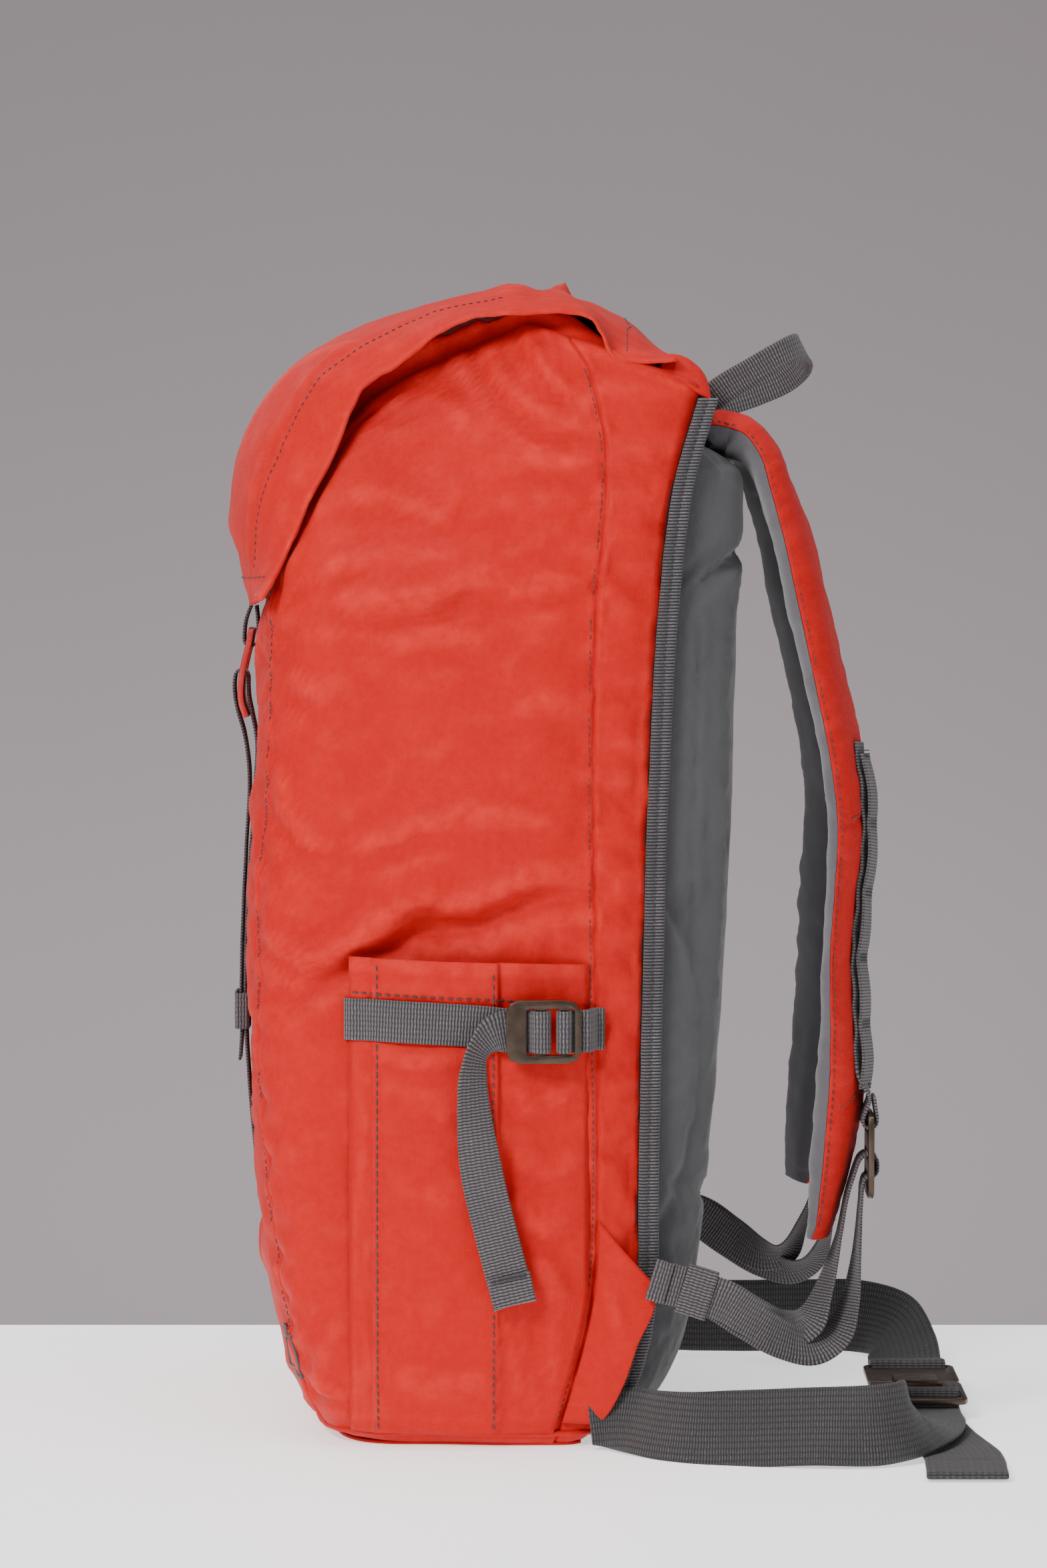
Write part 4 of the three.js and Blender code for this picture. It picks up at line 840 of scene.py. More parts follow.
roll = [crown + to_mouth * d + [0, 0, h] for d, h in ((1.5, 1.6), (4.0, 2.6), (7.5, 2.4), (11, 1.0))]
wall_grid = np.concatenate([wall_grid, np.stack(roll)])

# painted highlight, partly rubbed wear: fold ridges and the strip along the back edge are marked paler
lap = np.zeros(wall_grid.shape[:2])
slope = push - 0.25 * (np.roll(push, 2, 0) + np.roll(push, -2, 0) + np.roll(push, 2, 1) + np.roll(push, -2,
        1))
lap[:len(push)] = np.clip(slope * 0.9, 0, 0.6)
rim_run = np.minimum(run_of(wall_index), dense_run[-1] - run_of(wall_index))
patchy = np.clip(fractal(wall_z / 34, wall_index, 61) * 1.2 + 0.5, 0, 1)
lap[:len(push)] += bump(rim_run - 1.5, 2.2) * patchy * 1.5 * (wall_z > 70)

wall = shell("body_wall", wall_grid, np.full(len(wall_grid), 1.3), canvas, "pack", wear_and_highlight=lap)
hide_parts("front_panel", "side_panel_right", "side_panel_left", "rear_gusset_right",
            "rear_gusset_left")

# base, with a welt along its seam
loop_index = np.linspace(-BACK_EDGE, BACK_EDGE, 150)
base_x, base_y = outline(loop_index, 1.0)
back_y = np.linspace(base_y[-1], base_y[0], 40)[1:-1]
rim = np.stack([np.concatenate([base_x, np.full(38, base_x[-1])]), np.concatenate([base_y, back_y])],
               axis=1)
shares = np.concatenate([np.linspace(0.975, 0.5, 22), np.linspace(0.46, 0.03, 16)])
flat = rim[None] * shares[:, None, None]
sag = np.clip(fractal(flat[..., 0] / 40, flat[..., 1] / 40, 71) * 0.9, 0, 1.2) * np.clip((1 - shares) * 6,
        0, 1)[:, None]
base_cloth = shell("base_cloth", np.concatenate([flat, sag[..., None]], axis=2), np.full(len(shares), -1.6),
                   canvas,
                   "pack", loop=True)
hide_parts("base_panel")
welt_index = np.linspace(-BACK_EDGE + 0.02, BACK_EDGE - 0.02, 320)
welt_x, welt_y = outline(welt_index, 6.5)
welt = np.stack([welt_x, welt_y, 6.2 + 0.8 * fractal(run_of(welt_index) / 40, 0 * welt_x, 5)], axis=1)
verts, faces, uvs = tube_mesh(welt, 1.5 + 0.15 * fractal(run_of(welt_index) / 4, 0 * welt_x, 6), 8)
make("base_welt", verts, faces, canvas, "pack", uvs=uvs)


def wall_surface(index, z, lift=0.0):
    """Points on the creased wall and its outward normals, at wall indices and heights."""
    index, z = np.broadcast_arrays(np.asarray(index, float), np.asarray(z, float))
    d = 0.02
    at = lambda i, h: np.stack([*outline(i, h), np.broadcast_to(h, i.shape)], axis=-1)
    n = unit(np.cross(at(index + d, z) - at(index - d, z), at(index, z + 0.5) - at(index, z - 0.5)))
    p = at(index, z)
    return p + n * (wall_folds(index, p[..., 0], p[..., 1], z) + lift)[..., None], n


seam_lines = []
for seam, away in ((FRONT_SEAM, -2.6), (REAR_SEAM, -2.6)):
    for side in (1, -1):
        z = np.arange(12, 524 if seam == REAR_SEAM else 474, 1.0)
        index = np.full(len(z), index_of(run_of(float(side * seam)) + side * away))
        seam_lines.append(wall_surface(index, z))
stitches("seam_stitches", seam_lines, "pack", pitch=3.6, length=2.6, radius=0.28)

# ---------------------------------------------------------------- side pockets

POCKET_FRONT, POCKET_REAR, POCKET_LOW, POCKET_HIGH = -52, 62.5, 7, 238
PLEATS = (-41.0, 19.5)


def step(x, edge, width):
    t = np.clip((x - edge) / width + 0.5, 0, 1)
    return t * t * (3 - 2 * t)


def pocket_reach(x, z, side):
    rear = np.minimum(POCKET_REAR, seam_x(z) - 2.2)
    along = np.clip((x - POCKET_FRONT) / (rear - POCKET_FRONT), 0, 1)
    up = np.clip((z - POCKET_LOW) / (POCKET_HIGH - POCKET_LOW), 0, 1)
    bulge = 7.2 * np.minimum(1, 4.2 * along * (1 - along)) ** 0.6 * np.minimum(1, 3.2 * up) ** 0.7
    raised = step(x, PLEATS[0], 1.3) * (1 - step(x, PLEATS[1], 1.3))
    seed = 80 if side > 0 else 90
    soft = 0.9 * fractal(x / 34, z / 46, seed) + 0.35 * fractal(x / 12, z / 18, seed + 1)
    soft += (1 - raised) * (0.9 * fractal(x / 9, z / 70, seed + 2) + 0.5 * fractal(x / 16, z / 20,
            seed + 3))
    folds = sum(ridge(x, z, pts, h, w, k) for pts, h, w, k in (
        ([(22, 176), (34, 168), (50, 172), (60, 180)], 1.5, 6, 0.8),
        ([(24, 150), (40, 136), (58, 140)], 1.4, 7, 0.8),
        ([(22, 120), (38, 108), (58, 118)], 1.3, 7, 0.7), ([(58, 60), (46, 82), (30, 96)], 1.7, 7, 0.8),
        ([(-34, 182), (-10, 168), (10, 176)], 0.9, 9, 0.6), ([(-30, 132), (-4, 124), (14, 134)], 0.8, 9,
                                                             0.6),
        ([(-36, 44), (-10, 30), (14, 38)], 1.0, 9, 0.6), ([(-48, 190), (-46, 150), (-49, 112)], 1.5, 2.6,
                                                          0.8),
        ([(-44, 104), (-46, 70), (-43, 40)], 1.2, 2.6, 0.7), ([(26, 196), (32, 150), (26, 110)], 1.0, 5,
                                                              0.7),
        ([(-44, 196), (-20, 188), (10, 192)], 1.2, 5, 0.6)))
    edge = np.clip(np.minimum(along, 1 - along) * 9, 0, 1)
    pinch = -1.8 * bump(z - 208, 13) * edge
    hem = 0.45 * step(z, 219 - 0.03 * (x - POCKET_FRONT), 1.2)
    lip = 0.8 * step(z, 232, 6) * (0.5 + 0.5 * fractal(x / 20, 0 * x, seed + 5))
    return side_reach(x, z) + 1.9 + bulge + edge * (2.3 * raised + soft + folds) + pinch + hem + lip


def side_pocket(side):
    base = refine([POCKET_FRONT, *PLEATS, POCKET_REAR], 3.0, set(PLEATS), (0.35, 0.8, 1.5, 3.0))
    shares = (base - POCKET_FRONT) / (POCKET_REAR - POCKET_FRONT)
    v = np.linspace(0, 1, 92)
    z = POCKET_LOW + (POCKET_HIGH - 4 * shares[None] - POCKET_LOW) * v[:, None]
    rear = np.minimum(POCKET_REAR, seam_x(z) - 2.2)
    x = POCKET_FRONT + (rear - POCKET_FRONT) * shares[None]
    reach = pocket_reach(x, z, side)
    grid = np.stack([x, -side * reach, z], axis=-1)
    # painted highlight, partly rubbed wear: the pocket's fold ridges are marked paler
    crease = reach - 0.25 * (np.roll(reach, 3, 0) + np.roll(reach, -3, 0) + np.roll(reach, 1, 1)
                             + np.roll(reach, -1, 1))
    piece = shell("pocket_" + NAMES[side], grid, np.full(len(v), 1.2 * side), canvas, "pack",
                  wear_and_highlight=np.clip(crease * 1.2, 0, 0.5))
    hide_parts("side_pocket_" + NAMES[side])
    lines = []
    for x_line, low, high in ((PLEATS[0] + 2.4, 9, 236), (PLEATS[1] - 2.4, 9, 235)):
        z = np.arange(low, high, 1.0)
        x = np.full(len(z), x_line)
        y = -side * (pocket_reach(x, z, side) + 0.1)
        lines.append((np.stack([x, y, z], axis=1), np.tile([0, -side, 0], (len(z), 1))))
    x = np.arange(POCKET_FRONT + 1, POCKET_REAR - 2, 1.0)
    z = 221 - 0.045 * (x - POCKET_FRONT)
    y = -side * (pocket_reach(x, z, side) + 0.1)
    lines.append((np.stack([x, y, z], axis=1), np.tile([0, -side, 0], (len(x), 1))))
    stitches("pocket_stitches_" + NAMES[side], lines, "pack", pitch=4.3, length=3.2, radius=0.42)


for side in (1, -1):
    side_pocket(side)

# generic woven label, low on the right front corner
LABEL_FROM, LABEL_TO = 1.33, 2.08  # along the wall's outline
LABEL_LOW, LABEL_HIGH = 31, 51
u, v = np.meshgrid(np.linspace(LABEL_FROM, LABEL_TO, 24), np.linspace(LABEL_LOW, LABEL_HIGH, 14))
label_grid, _ = wall_surface(u, v, 0.9)
label = shell("label", label_grid, np.full(14, 0.8), canvas, "pack")
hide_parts("brand_patch")
across = np.linspace(LABEL_FROM, LABEL_TO, 30)
upward = np.linspace(LABEL_LOW, LABEL_HIGH, 20)
frame_points, _ = wall_surface(np.concatenate([across, np.full(20, LABEL_TO), across[::-1],
                                               np.full(20, LABEL_FROM)]),
                               np.concatenate([np.full(30, float(LABEL_LOW)), upward,
                                               np.full(30, float(LABEL_HIGH)), upward[::-1]]),
                               1.1)
verts, faces, uvs = tube_mesh(frame_points, 0.75, 6, closed=True)
make("label_edge", verts, faces, inner_cloth, "pack", uvs=uvs)

# ---------------------------------------------------------------- collar under the lid


def collar_cloth():
    index = index_of(np.linspace(0, dense_run[-1], 170))
    shares = np.linspace(-0.9, 0.9, 44)
    crest = wall_top(np.abs(index))
    lowx, lowy = outline(index, crest - 12)
    topx, topy = outline(index, crest)
    back_x = float(rear_x(504))
    ring = lambda x, y, z, bx, bz: np.concatenate([
        np.stack([x, y, z], axis=1), np.stack([0 * shares + bx, shares * FLARE * float(rear_half(504)),
                                               0 * shares + bz], axis=1)])
    low = ring(lowx, lowy, crest - 12, back_x - 1, 494)
    high = ring(topx, topy, crest, back_x - 2, 506)
    angle = np.arctan2(high[:, 1] / MOUTH_REACH_Y, (high[:, 0] - MOUTH_X) / MOUTH_REACH_X)
    mouth = np.stack([MOUTH_X + MOUTH_REACH_X * np.cos(angle), MOUTH_REACH_Y * np.sin(angle),
                      np.full(len(angle), 517.0)], axis=1)
    inward = unit((mouth - high) * [1, 1, 0])
    rows = [low + inward * 3.2, high + inward * 4.0, high + inward * 9 + [0, 0, 4],
            high * 0.78 + mouth * 0.22 + [0, 0, 15], high * 0.5 + mouth * 0.5 + [0, 0, 17],
            high * 0.2 + mouth * 0.8 + [0, 0, 5],
            mouth]
    for row in rows[2:-1]:
        row[:, 2] = np.minimum(row[:, 2], under_lid(row[:, 0], row[:, 1]) - 3.5)
    n = 30
    control = np.stack(rows)
    grid = np.stack([spline(control[:, k], np.linspace(0, 1, n)) for k in range(control.shape[1])], axis=1)
    v = np.linspace(0, 1, n)[:, None]
    phase = angle[None] * 15 + 2.2 * noise(angle[None] * 2.2, v * 1.5, 5)
    gather = np.sin(phase) * 0.6 + np.sin(phase * 1.9 + 1) * 0.35
    strength = np.clip((v - 0.22) / 0.5, 0, 1) ** 0.8 * 3.0
    grid = grid + grid_normals(grid, True) * (gather * strength + 0.8 * fractal(angle[None] * 6, v * 5,
            9))[..., None]
    # painted highlight, partly rubbed wear: the ridges of the gathers are marked paler
    piece = shell("collar_cloth", grid, np.full(n, 1.0), canvas, "pack", loop=True,
                  wear_and_highlight=np.clip(gather * strength * 0.12, 0, 0.4))
    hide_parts("collar")


def hem_cloth():
    turn = np.linspace(0, 2 * np.pi, 181)[:-1]
    gather = 0.9 * np.sin(turn * 34 + 2 * noise(turn * 3, 0 * turn, 4)) + 0.4 * noise(turn * 20, 0 * turn,
            8)
    rings = []
    for a in np.linspace(0, 2 * np.pi, 17)[:-1]:
        out, up = 3.9 * np.cos(a), 6.4 * np.sin(a)
        reach = out + gather * (0.8 if out > 0 else 0.4)
        rings.append(np.stack([MOUTH_X + (MOUTH_REACH_X + reach) * np.cos(turn), (MOUTH_REACH_Y + reach)
                               * np.sin(turn),
                               MOUTH_Z + up + 0.3 * gather], axis=1))
    grid = np.stack(rings, axis=1)
    n, m = grid.shape[:2]
    faces = [[(i % n) * m + k, (i % n) * m + (k + 1) % m, ((i + 1) % n) * m + (k + 1) % m,
              ((i + 1) % n) * m + k]
             for i in range(n) for k in range(m)]
    piece = make("collar_hem_cloth", grid.reshape(-1, 3), faces, canvas, "pack")
    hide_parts("collar_hem")


collar_cloth()
hem_cloth()

# ---------------------------------------------------------------- lid and yoke

def lid_points(across, v):
    """The lid's outer surface: across from -1 (left) to 1 (right), v from its rear edge to the front."""
    across, v = np.broadcast_arrays(np.asarray(across, float), np.asarray(v, float))
    flat_v = v.ravel()
    to3 = lambda rows: np.array([[x, 0, z] for x, z in rows], float)
    table = np.linspace(0, 1, 400)

    def by_length(rows):
        dense = spline(to3(rows), table)
        run = np.concatenate([[0], np.cumsum(np.linalg.norm(np.diff(dense, axis=0), axis=1))])
        return np.stack([np.interp(flat_v * run[-1], run, dense[:, k]) for k in range(3)], axis=1)

    a = across.ravel()
    share = (np.abs(a) ** 3.1)[:, None]
    middle, side = by_length(lid_middle), by_length(lid_side)
    point = middle * (1 - share) + side * share
    point[:, 1] = -a * (117.6 - 3 * flat_v ** 5)
    return point.reshape(*across.shape, 3)


def lid_cloth():
    across = refine([-1, 1], 0.03, {-1, 1}, (0.006, 0.014, 0.03, 0.05, 0.075))
    v = np.concatenate([np.linspace(0, 0.95, 96), [0.962, 0.974, 0.984, 0.992, 1.0]])
    a, w = np.meshgrid(across, v)
    grid = lid_points(a, w)
    n = -grid_normals(grid)
    y, run = grid[..., 1], w * 330
    push = 1.1 * fractal(y / 60, run / 45, 101) + 0.4 * fractal(y / 18, run / 16, 103)
    for pts, h, width, k in (
            ([(-100, 96), (-40, 84), (30, 92), (84, 74)], 2.2, 8, 0.7),
            ([(96, 160), (60, 190), (30, 235)], 1.8, 9, 0.6),
            ([(-96, 170), (-60, 200), (-40, 250)], 1.8, 9, 0.6), ([(-70, 60), (-20, 66), (40, 58)], 1.6, 7,
                    0.6),
            ([(60, 300), (20, 286), (-30, 292), (-76, 300)], 1.6, 8, 0.6),
            ([(104, 220), (92, 262), (70, 300)], 1.6, 6, 0.8),
            ([(40, 60), (80, 62), (108, 70)], 3.2, 5, 0.9), ([(-2, 66), (22, 62), (46, 67)], 6.0, 3.4, 0.4),
            ([(113, 196), (98, 190), (82, 178)], 3.4, 4.5, 0.9)):
        push = push + ridge(y, run, pts, h, width, k)
    seam = np.abs(a) - 0.75
    push = push - 0.9 * bump(seam * 115, 0.9) + 0.45 * bump(seam * 115 + 4, 3.4)
    border = np.minimum((1 - np.abs(a)) * 113, (1 - w) * 330)
    push = push + 0.6 * (1 - step(border, 13, 2)) + 0.5 * fractal(y / 9, run / 9, 107) * np.exp(-border / 8)
    push = push * np.clip(w / 0.05, 0.15, 1)
    grid = grid + n * push[..., None]
    crease = push - 0.25 * (np.roll(push, 2, 0) + np.roll(push, -2, 0) + np.roll(push, 2, 1)
                            + np.roll(push, -2, 1))
    # painted highlight on the folded border along the lid's edges, and partly rubbed wear with painted
    # highlight on the fold ridges
    lid = shell("lid_cloth", grid, -np.interp(v, [0, 0.9, 1], [1.6, 2.0, 3.0]), canvas,
                wear_and_highlight=np.clip(crease, 0, 0.5) + 0.5 * bump(border, 1.2))
    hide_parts("lid")
    lines = []
    run_v = np.linspace(0.3, 0.955, 330)
    for side in (1, -1):
        lines.append((side * (0.775 + 0.02 * noise(run_v * 9, 0 * run_v, 7)), run_v))
    cross_a = np.linspace(-0.96, 0.96, 240)
    lines.append((cross_a, np.full(240, 1 - 14 / 330)))
    lines.append((cross_a, np.full(240, 0.085) + 0.006 * noise(cross_a * 6, 0 * cross_a, 9)))

    def on_lid(la, lv):
        ia = np.interp(la, across, np.arange(len(across)))
        iv = np.interp(lv, v, np.arange(len(v)))
        i0, j0 = np.minimum(iv.astype(int), len(v) - 2), np.minimum(ia.astype(int), len(across) - 2)
        fi, fj = (iv - i0)[:, None], (ia - j0)[:, None]
        pick = lambda g: ((g[i0, j0] * (1 - fj) + g[i0, j0 + 1] * fj) * (1 - fi)
                          + (g[i0 + 1, j0] * (1 - fj) + g[i0 + 1, j0 + 1] * fj) * fi)
        return pick(grid), unit(pick(n))

    stitches("lid_stitches", [on_lid(*line) for line in lines], "lid", pitch=3.6, length=2.5, radius=0.28)
    return lid


lid = lid_cloth()
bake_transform(lid)

yoke_rows = np.array([(120.6, 0, 506.5), (119.4, 0, 510.5), (116, 0, 517.4), (110, 0, 522.6),
                      (103.4, 0, 524.6), (97, 0, 524.4)])
t = np.linspace(0, 1, 26)
line = spline(yoke_rows, t)
across = np.linspace(-1, 1, 70)
yoke_grid = np.repeat(line[:, None], 70, axis=1)
yoke_grid[..., 1] = -across[None] * 114.5
cheek = step(np.abs(across), 0.955, 0.09)[None]
cheek_z = np.interp(line[:, 0], [97, 110, 120], [515.5, 510, 503.5])[:, None]
yoke_grid[..., 2] = yoke_grid[..., 2] * (1 - cheek) + cheek_z * cheek
yoke_grid[..., 1] -= np.sign(across)[None] * cheek * np.interp(line[:, 0], [97, 120], [2.5, 0.5])[:, None]
yoke_push = 0.9 * fractal(yoke_grid[..., 1] / 26, t[:, None] * 2.5,
                          121) * np.sin(np.pi * np.clip(t, 0, 1))[:, None]
yoke_grid = yoke_grid - grid_normals(yoke_grid) * (yoke_push)[..., None]
# painted highlight, partly rubbed wear: where the crease noise pushes the yoke's cloth it is marked paler
yoke = shell("yoke_cloth", yoke_grid, np.full(26, -1.4), canvas, "pack",
             wear_and_highlight=np.clip(yoke_push * 0.4, 0, 0.4))
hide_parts("top_yoke")

# ---------------------------------------------------------------- the padded back

PAD_LOW, PAD_HIGH, PAD_RISE = 5, 484, 4.6


lumbar_edge = through([[100, 90], [121, 100], [142, 107], [174, 112], [210, 112.5], [235, 107.5],
                       [252, 101], [268, 92]])


def pad_height(across, z):
    """How far the moulded back stands off its plane, before the cloth's own softness."""
    ends = np.clip(np.minimum((z - PAD_LOW) / 14, (PAD_HIGH - z) / 14), 0, 1)
    full = np.maximum(pad_x(z) - rear_x(z) - PAD_RISE, 0)
    rise = full * (1 - np.abs(across) ** 10) * np.sqrt(ends)
    a = np.abs(across * 112)
    spine = 9 + 7 * bump(z - 250, 120)
    channel = 6.5 / (1 + np.exp((a - spine) / 2.2)) * np.clip((z - 40) / 30, 0, 1) * np.clip((440 - z) / 25,
            0, 1)
    waist = 88 - 38 * bump(z - 222, 46)
    groove = 4.0 * bump(a - waist, 4.2) * np.clip((z - 135) / 30, 0, 1) * np.clip((318 - z) / 30, 0, 1)
    low_arch = 3.4 * bump(z - (92 + 0.35 * a), 5.0) * np.clip((a - 12) / 10, 0, 1)
    crease = 5.0 * bump(z - 404 - 27 * (1 - np.exp((a - 112) / 14)), 4.2) * np.clip((a - 10) / 12, 0, 1)
    panel = 2.2 * (1 - bump(a - 58, 34)) * np.clip((z - 300) / 30, 0, 1) * np.clip((396 - z) / 20, 0, 1)
    carved = (channel + groove + low_arch + crease + panel) * np.clip(full / 14, 0, 1)
    return rise - carved * np.clip((1 - np.abs(across)) * 12, 0, 1)


def flank_inset(across, x, z):
    """How far the pad's flanks are drawn in behind the edge of the lumbar pad and along the upright ribs."""
    low = 4.6 * step(x, lumbar_edge(z) + 1.5, 5) * np.clip((z - 98) / 12, 0, 1) * np.clip((272 - z) / 14, 0,
            1)
    ribs = 3.0 * bump(x - 113 - 0.02 * (z - 300), 2.6) * np.clip((z - 222) / 20, 0, 1) * np.clip((402 - z)
            / 14, 0, 1)
    upper = 3.6 * step(x, 118 + 0.02 * (z - 300), 5) * np.clip((z - 250) / 20, 0, 1) * np.clip((408 - z)
            / 10, 0, 1)
    crease = 2.6 * bump(z - 404 - 27 * (1 - np.exp((96 - x) / 14)), 4.0)
    return (low + ribs + upper + crease) * step(np.abs(across), 0.88, 0.2)


def back_pad():
    edge_run = 1 - 0.2 * np.linspace(0, 1, 30) ** 2
    across = np.concatenate([-edge_run[:-1], np.linspace(-0.8, 0.8, 70), edge_run[::-1][1:]])
    z = np.concatenate([np.linspace(PAD_LOW, 24, 9)[:-1], np.linspace(24, 468, 140),
                        np.linspace(468, PAD_HIGH, 9)[1:]])
    a, h = np.meshgrid(across, z)
    soft = 0.45 * fractal(a * 112 / 30, h / 42, 131) + 0.15 * fractal(a * 112 / 9, h / 12, 133)
    reach = FLARE * rear_half(h) - 3.6
    rise = pad_height(a, h)
    edge = np.clip(np.minimum((1 - np.abs(a)) * 10, np.minimum(h - PAD_LOW, PAD_HIGH - h) / 12), 0, 1)
    pucker = 0.5 * fractal(h / 6, a * 3, 137) * np.exp(-(1 - np.abs(a)) * 22)
    x = rear_x(h) + PAD_RISE + rise + (soft + pucker) * edge
    grid = np.stack([x, -a * reach + np.sign(a) * flank_inset(a, x, h), h], axis=-1)
    depth = pad_height(0 * a + 0.8, h) - pad_height(a, h)
    channels = np.clip(depth / 3, 0, 1) * (np.abs(a) < 0.9)
    sewn = np.clip(np.maximum(channels, np.maximum(1 - (1 - np.abs(a)) * 8,
                                                   1 - np.minimum(h - PAD_LOW, PAD_HIGH - h) / 8)), 0, 1)
    grid = settle("pad_rest", grid, sewn, growth=0.02, pressure=1.5, limit=1.3)
    inner = np.stack([rear_x(h) + 2.9, -a * reach * 0.992, h], axis=-1)
    rows, cols = a.shape
    n = rows * cols
    front = grid_faces(rows, cols)
    faces = [front, front[:, ::-1] + n]
    c = np.arange(cols - 1)
    faces.append(np.stack([c + 1, c, c + n, c + 1 + n], axis=1))
    topmost = (rows - 1) * cols
    faces.append(np.stack([topmost + c, topmost + c + 1, topmost + c + 1 + n, topmost + c + n], axis=1))
    r = np.arange(rows - 1) * cols
    faces.append(np.stack([r, r + cols, r + cols + n, r + n], axis=1))
    e = r + cols - 1
    faces.append(np.stack([e + cols, e, e + n, e + cols + n], axis=1))
    pad = make("back_pad", np.concatenate([grid.reshape(-1, 3), inner.reshape(-1, 3)]),
               np.concatenate(faces), mesh_grey,
               "pack")
    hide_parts("back_mesh_cover", "back_foam")


back_pad()

z = np.linspace(5, 503.5, 100)
a, h = np.meshgrid(np.linspace(-1, 1, 24), z)
lining_grid = np.stack([rear_x(h) - 0.4 + 0.5 * fractal(a * 6, h / 40, 141),
                        -a * (FLARE * rear_half(h) - 1.6), h], axis=-1)
back_cloth = shell("back_lining", lining_grid, np.full(100, 1.4), inner_cloth, "pack")
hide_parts("back_wall")


def binding(side):
    """Ribbed tape folded round the raw edge between the side and the back."""
    h = np.concatenate([np.linspace(5.5, 40, 26)[:-1], np.linspace(40, 503.5, 300)])
    run = np.concatenate([[0], np.cumsum(np.hypot(np.diff(h), np.diff(rear_x(h))))])
    wave = 0.35 * fractal(run / 26, 0 * run + side, 151) + 0.16 * fractal(run / 6, 0 * run + side, 153)
    x0 = rear_x(h)
    y0 = FLARE * rear_half(h)
    section = [(0.6, -2.2), (0.3, 0.4), (1.0, 2.0), (2.4, 2.7), (4.6, 2.3), (5.2, 1.75), (5.8, 2.3),
               (8.0, 2.5), (9.4, 1.9),
               (10.1, 0.4), (9.7, -1.4), (8.0, -2.4), (4.0, -2.6)]
    width = np.concatenate([[0], np.cumsum(np.hypot(*np.diff(np.array(section), axis=0).T))])
    rings = [np.stack([x0 + dx + 0.4 * wave, -side * (y0 + dy + wave), h], axis=1) for dx, dy in section]
    grid = np.stack(rings, axis=1)
    rows, cols = grid.shape[:2]
    faces = grid_faces(rows, cols, True).tolist() + [list(range(cols)),
                                                     [(rows - 1) * cols + k for k in range(cols)]]
    uvs = np.stack([np.broadcast_to(width[None], (rows, cols)),
                    np.broadcast_to(run[:, None], (rows, cols))], axis=-1)
    tape = make("binding_" + NAMES[side], grid.reshape(-1, 3), faces, tape_grey, "pack",
                uvs=uvs.reshape(-1, 2))
    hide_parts("edge_binding_" + NAMES[side])
    line = np.stack([x0 + 5.2, -side * (y0 + 2.0 + wave), h], axis=1)
    return line, np.tile([0, -side, 0], (len(h), 1))


stitches("binding_stitches", [binding(side) for side in (1, -1)], "pack", pitch=3.6, length=2.5,
         radius=0.32)

# ---------------------------------------------------------------- hip wings


def hip_wing(side):
    """Cloth triangle in the rear seam that the belt and the lower adjusting webbing are sewn to."""
    fold = np.array([(66.5, 127.6, 110), (76, 129.5, 102), (86, 131.5, 91), (92.5, 133.6, 82)])
    n, m = 34, 26
    s = np.linspace(0, 1, n)
    z = np.linspace(110, 12, m)
    seam = np.stack([seam_x(z) + 0.5, side_reach(seam_x(z), z), z], axis=1)
    t = np.linspace(0, 1, m)
    grid = np.empty((n, m, 3))
    for j in range(m):
        far = spline(np.array([fold[-1], (94, 134, 70), (86, 135.5, 52), (80, 134, 34), (72, 131, 18),
                               (66.5, 127.5, 12)]), t[j:j + 1])[0]
        a = seam[j] + [0, 0.8, 0]
        mid = (a + far) / 2 + [0, 2.6 * math.sin(math.pi * t[j]), 0]
        grid[:, j] = spline(np.array([a, mid, far]), s)
    y_push = 0.9 * fractal(grid[..., 0] / 16, grid[..., 2] / 20, 161) * np.sin(np.pi * s)[:, None]
    y_push += 1.6 * bump(grid[..., 0] + 0.55 * grid[..., 2] - 112, 4.5) * np.sin(np.pi * s)[:, None]
    grid[..., 1] += y_push
    grid[..., 1] *= -side
    # painted highlight, partly rubbed wear: where the wing bulges outward it is marked paler
    wing = shell("hip_wing_cloth_" + NAMES[side], grid, np.full(n, 1.3 * side), canvas, "pack",
                 wear_and_highlight=np.clip(y_push * 0.3, 0, 0.4))
    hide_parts("hip_wing_" + NAMES[side])


for side in (1, -1):
    hip_wing(side)

# ---------------------------------------------------------------- shoulder straps

STRAP = [[116.5, 492, 64, 58, 7], [127, 491.5, 65, 62, 13], [138, 487, 66, 65, 16], [147, 476, 68, 66, 17],
         [153, 461, 70, 67, 17], [161, 438, 73, 68, 17], [169, 405, 77, 67, 18], [177, 370, 81, 65, 17],
         [185, 332, 85, 62, 16], [189, 300, 88, 60, 15], [187.5, 270, 91, 58, 14], [185, 236, 94, 56, 13],
         [185, 200, 97, 54, 16], [184, 170, 99, 50, 18], [180, 138, 100, 44, 16], [176, 112, 100, 38, 11],
         [174, 99, 100, 32, 7]]
strap_line = np.array([[x, -y, z] for x, z, y, _, _ in STRAP], float)
strap_size = np.array([[w, t, 0] for *_, w, t in STRAP], float)


def strap_frame(t):
    """Middle, direction across, direction away from the wearer, and size, down the right strap."""
    t = np.asarray(t, float)
    point, size = spline(strap_line, t), spline(strap_size, t)
    d = 1e-3
    along = unit(spline(strap_line, np.minimum(t + d, 1)) - spline(strap_line, np.maximum(t - d, 0)))
    flat = unit(np.array([0, -1, 0]) + along * along[:, 1:2])
    face = unit(np.cross(flat, along))
    turn = np.radians(np.interp(point[:, 2:3], [110, 160, 300, 440, 480], [15, 19, 15, 6, 0]))
    across = flat * np.cos(turn) - face * np.sin(turn)
    out = face * np.cos(turn) + flat * np.sin(turn)
    return point, along, across, out, size


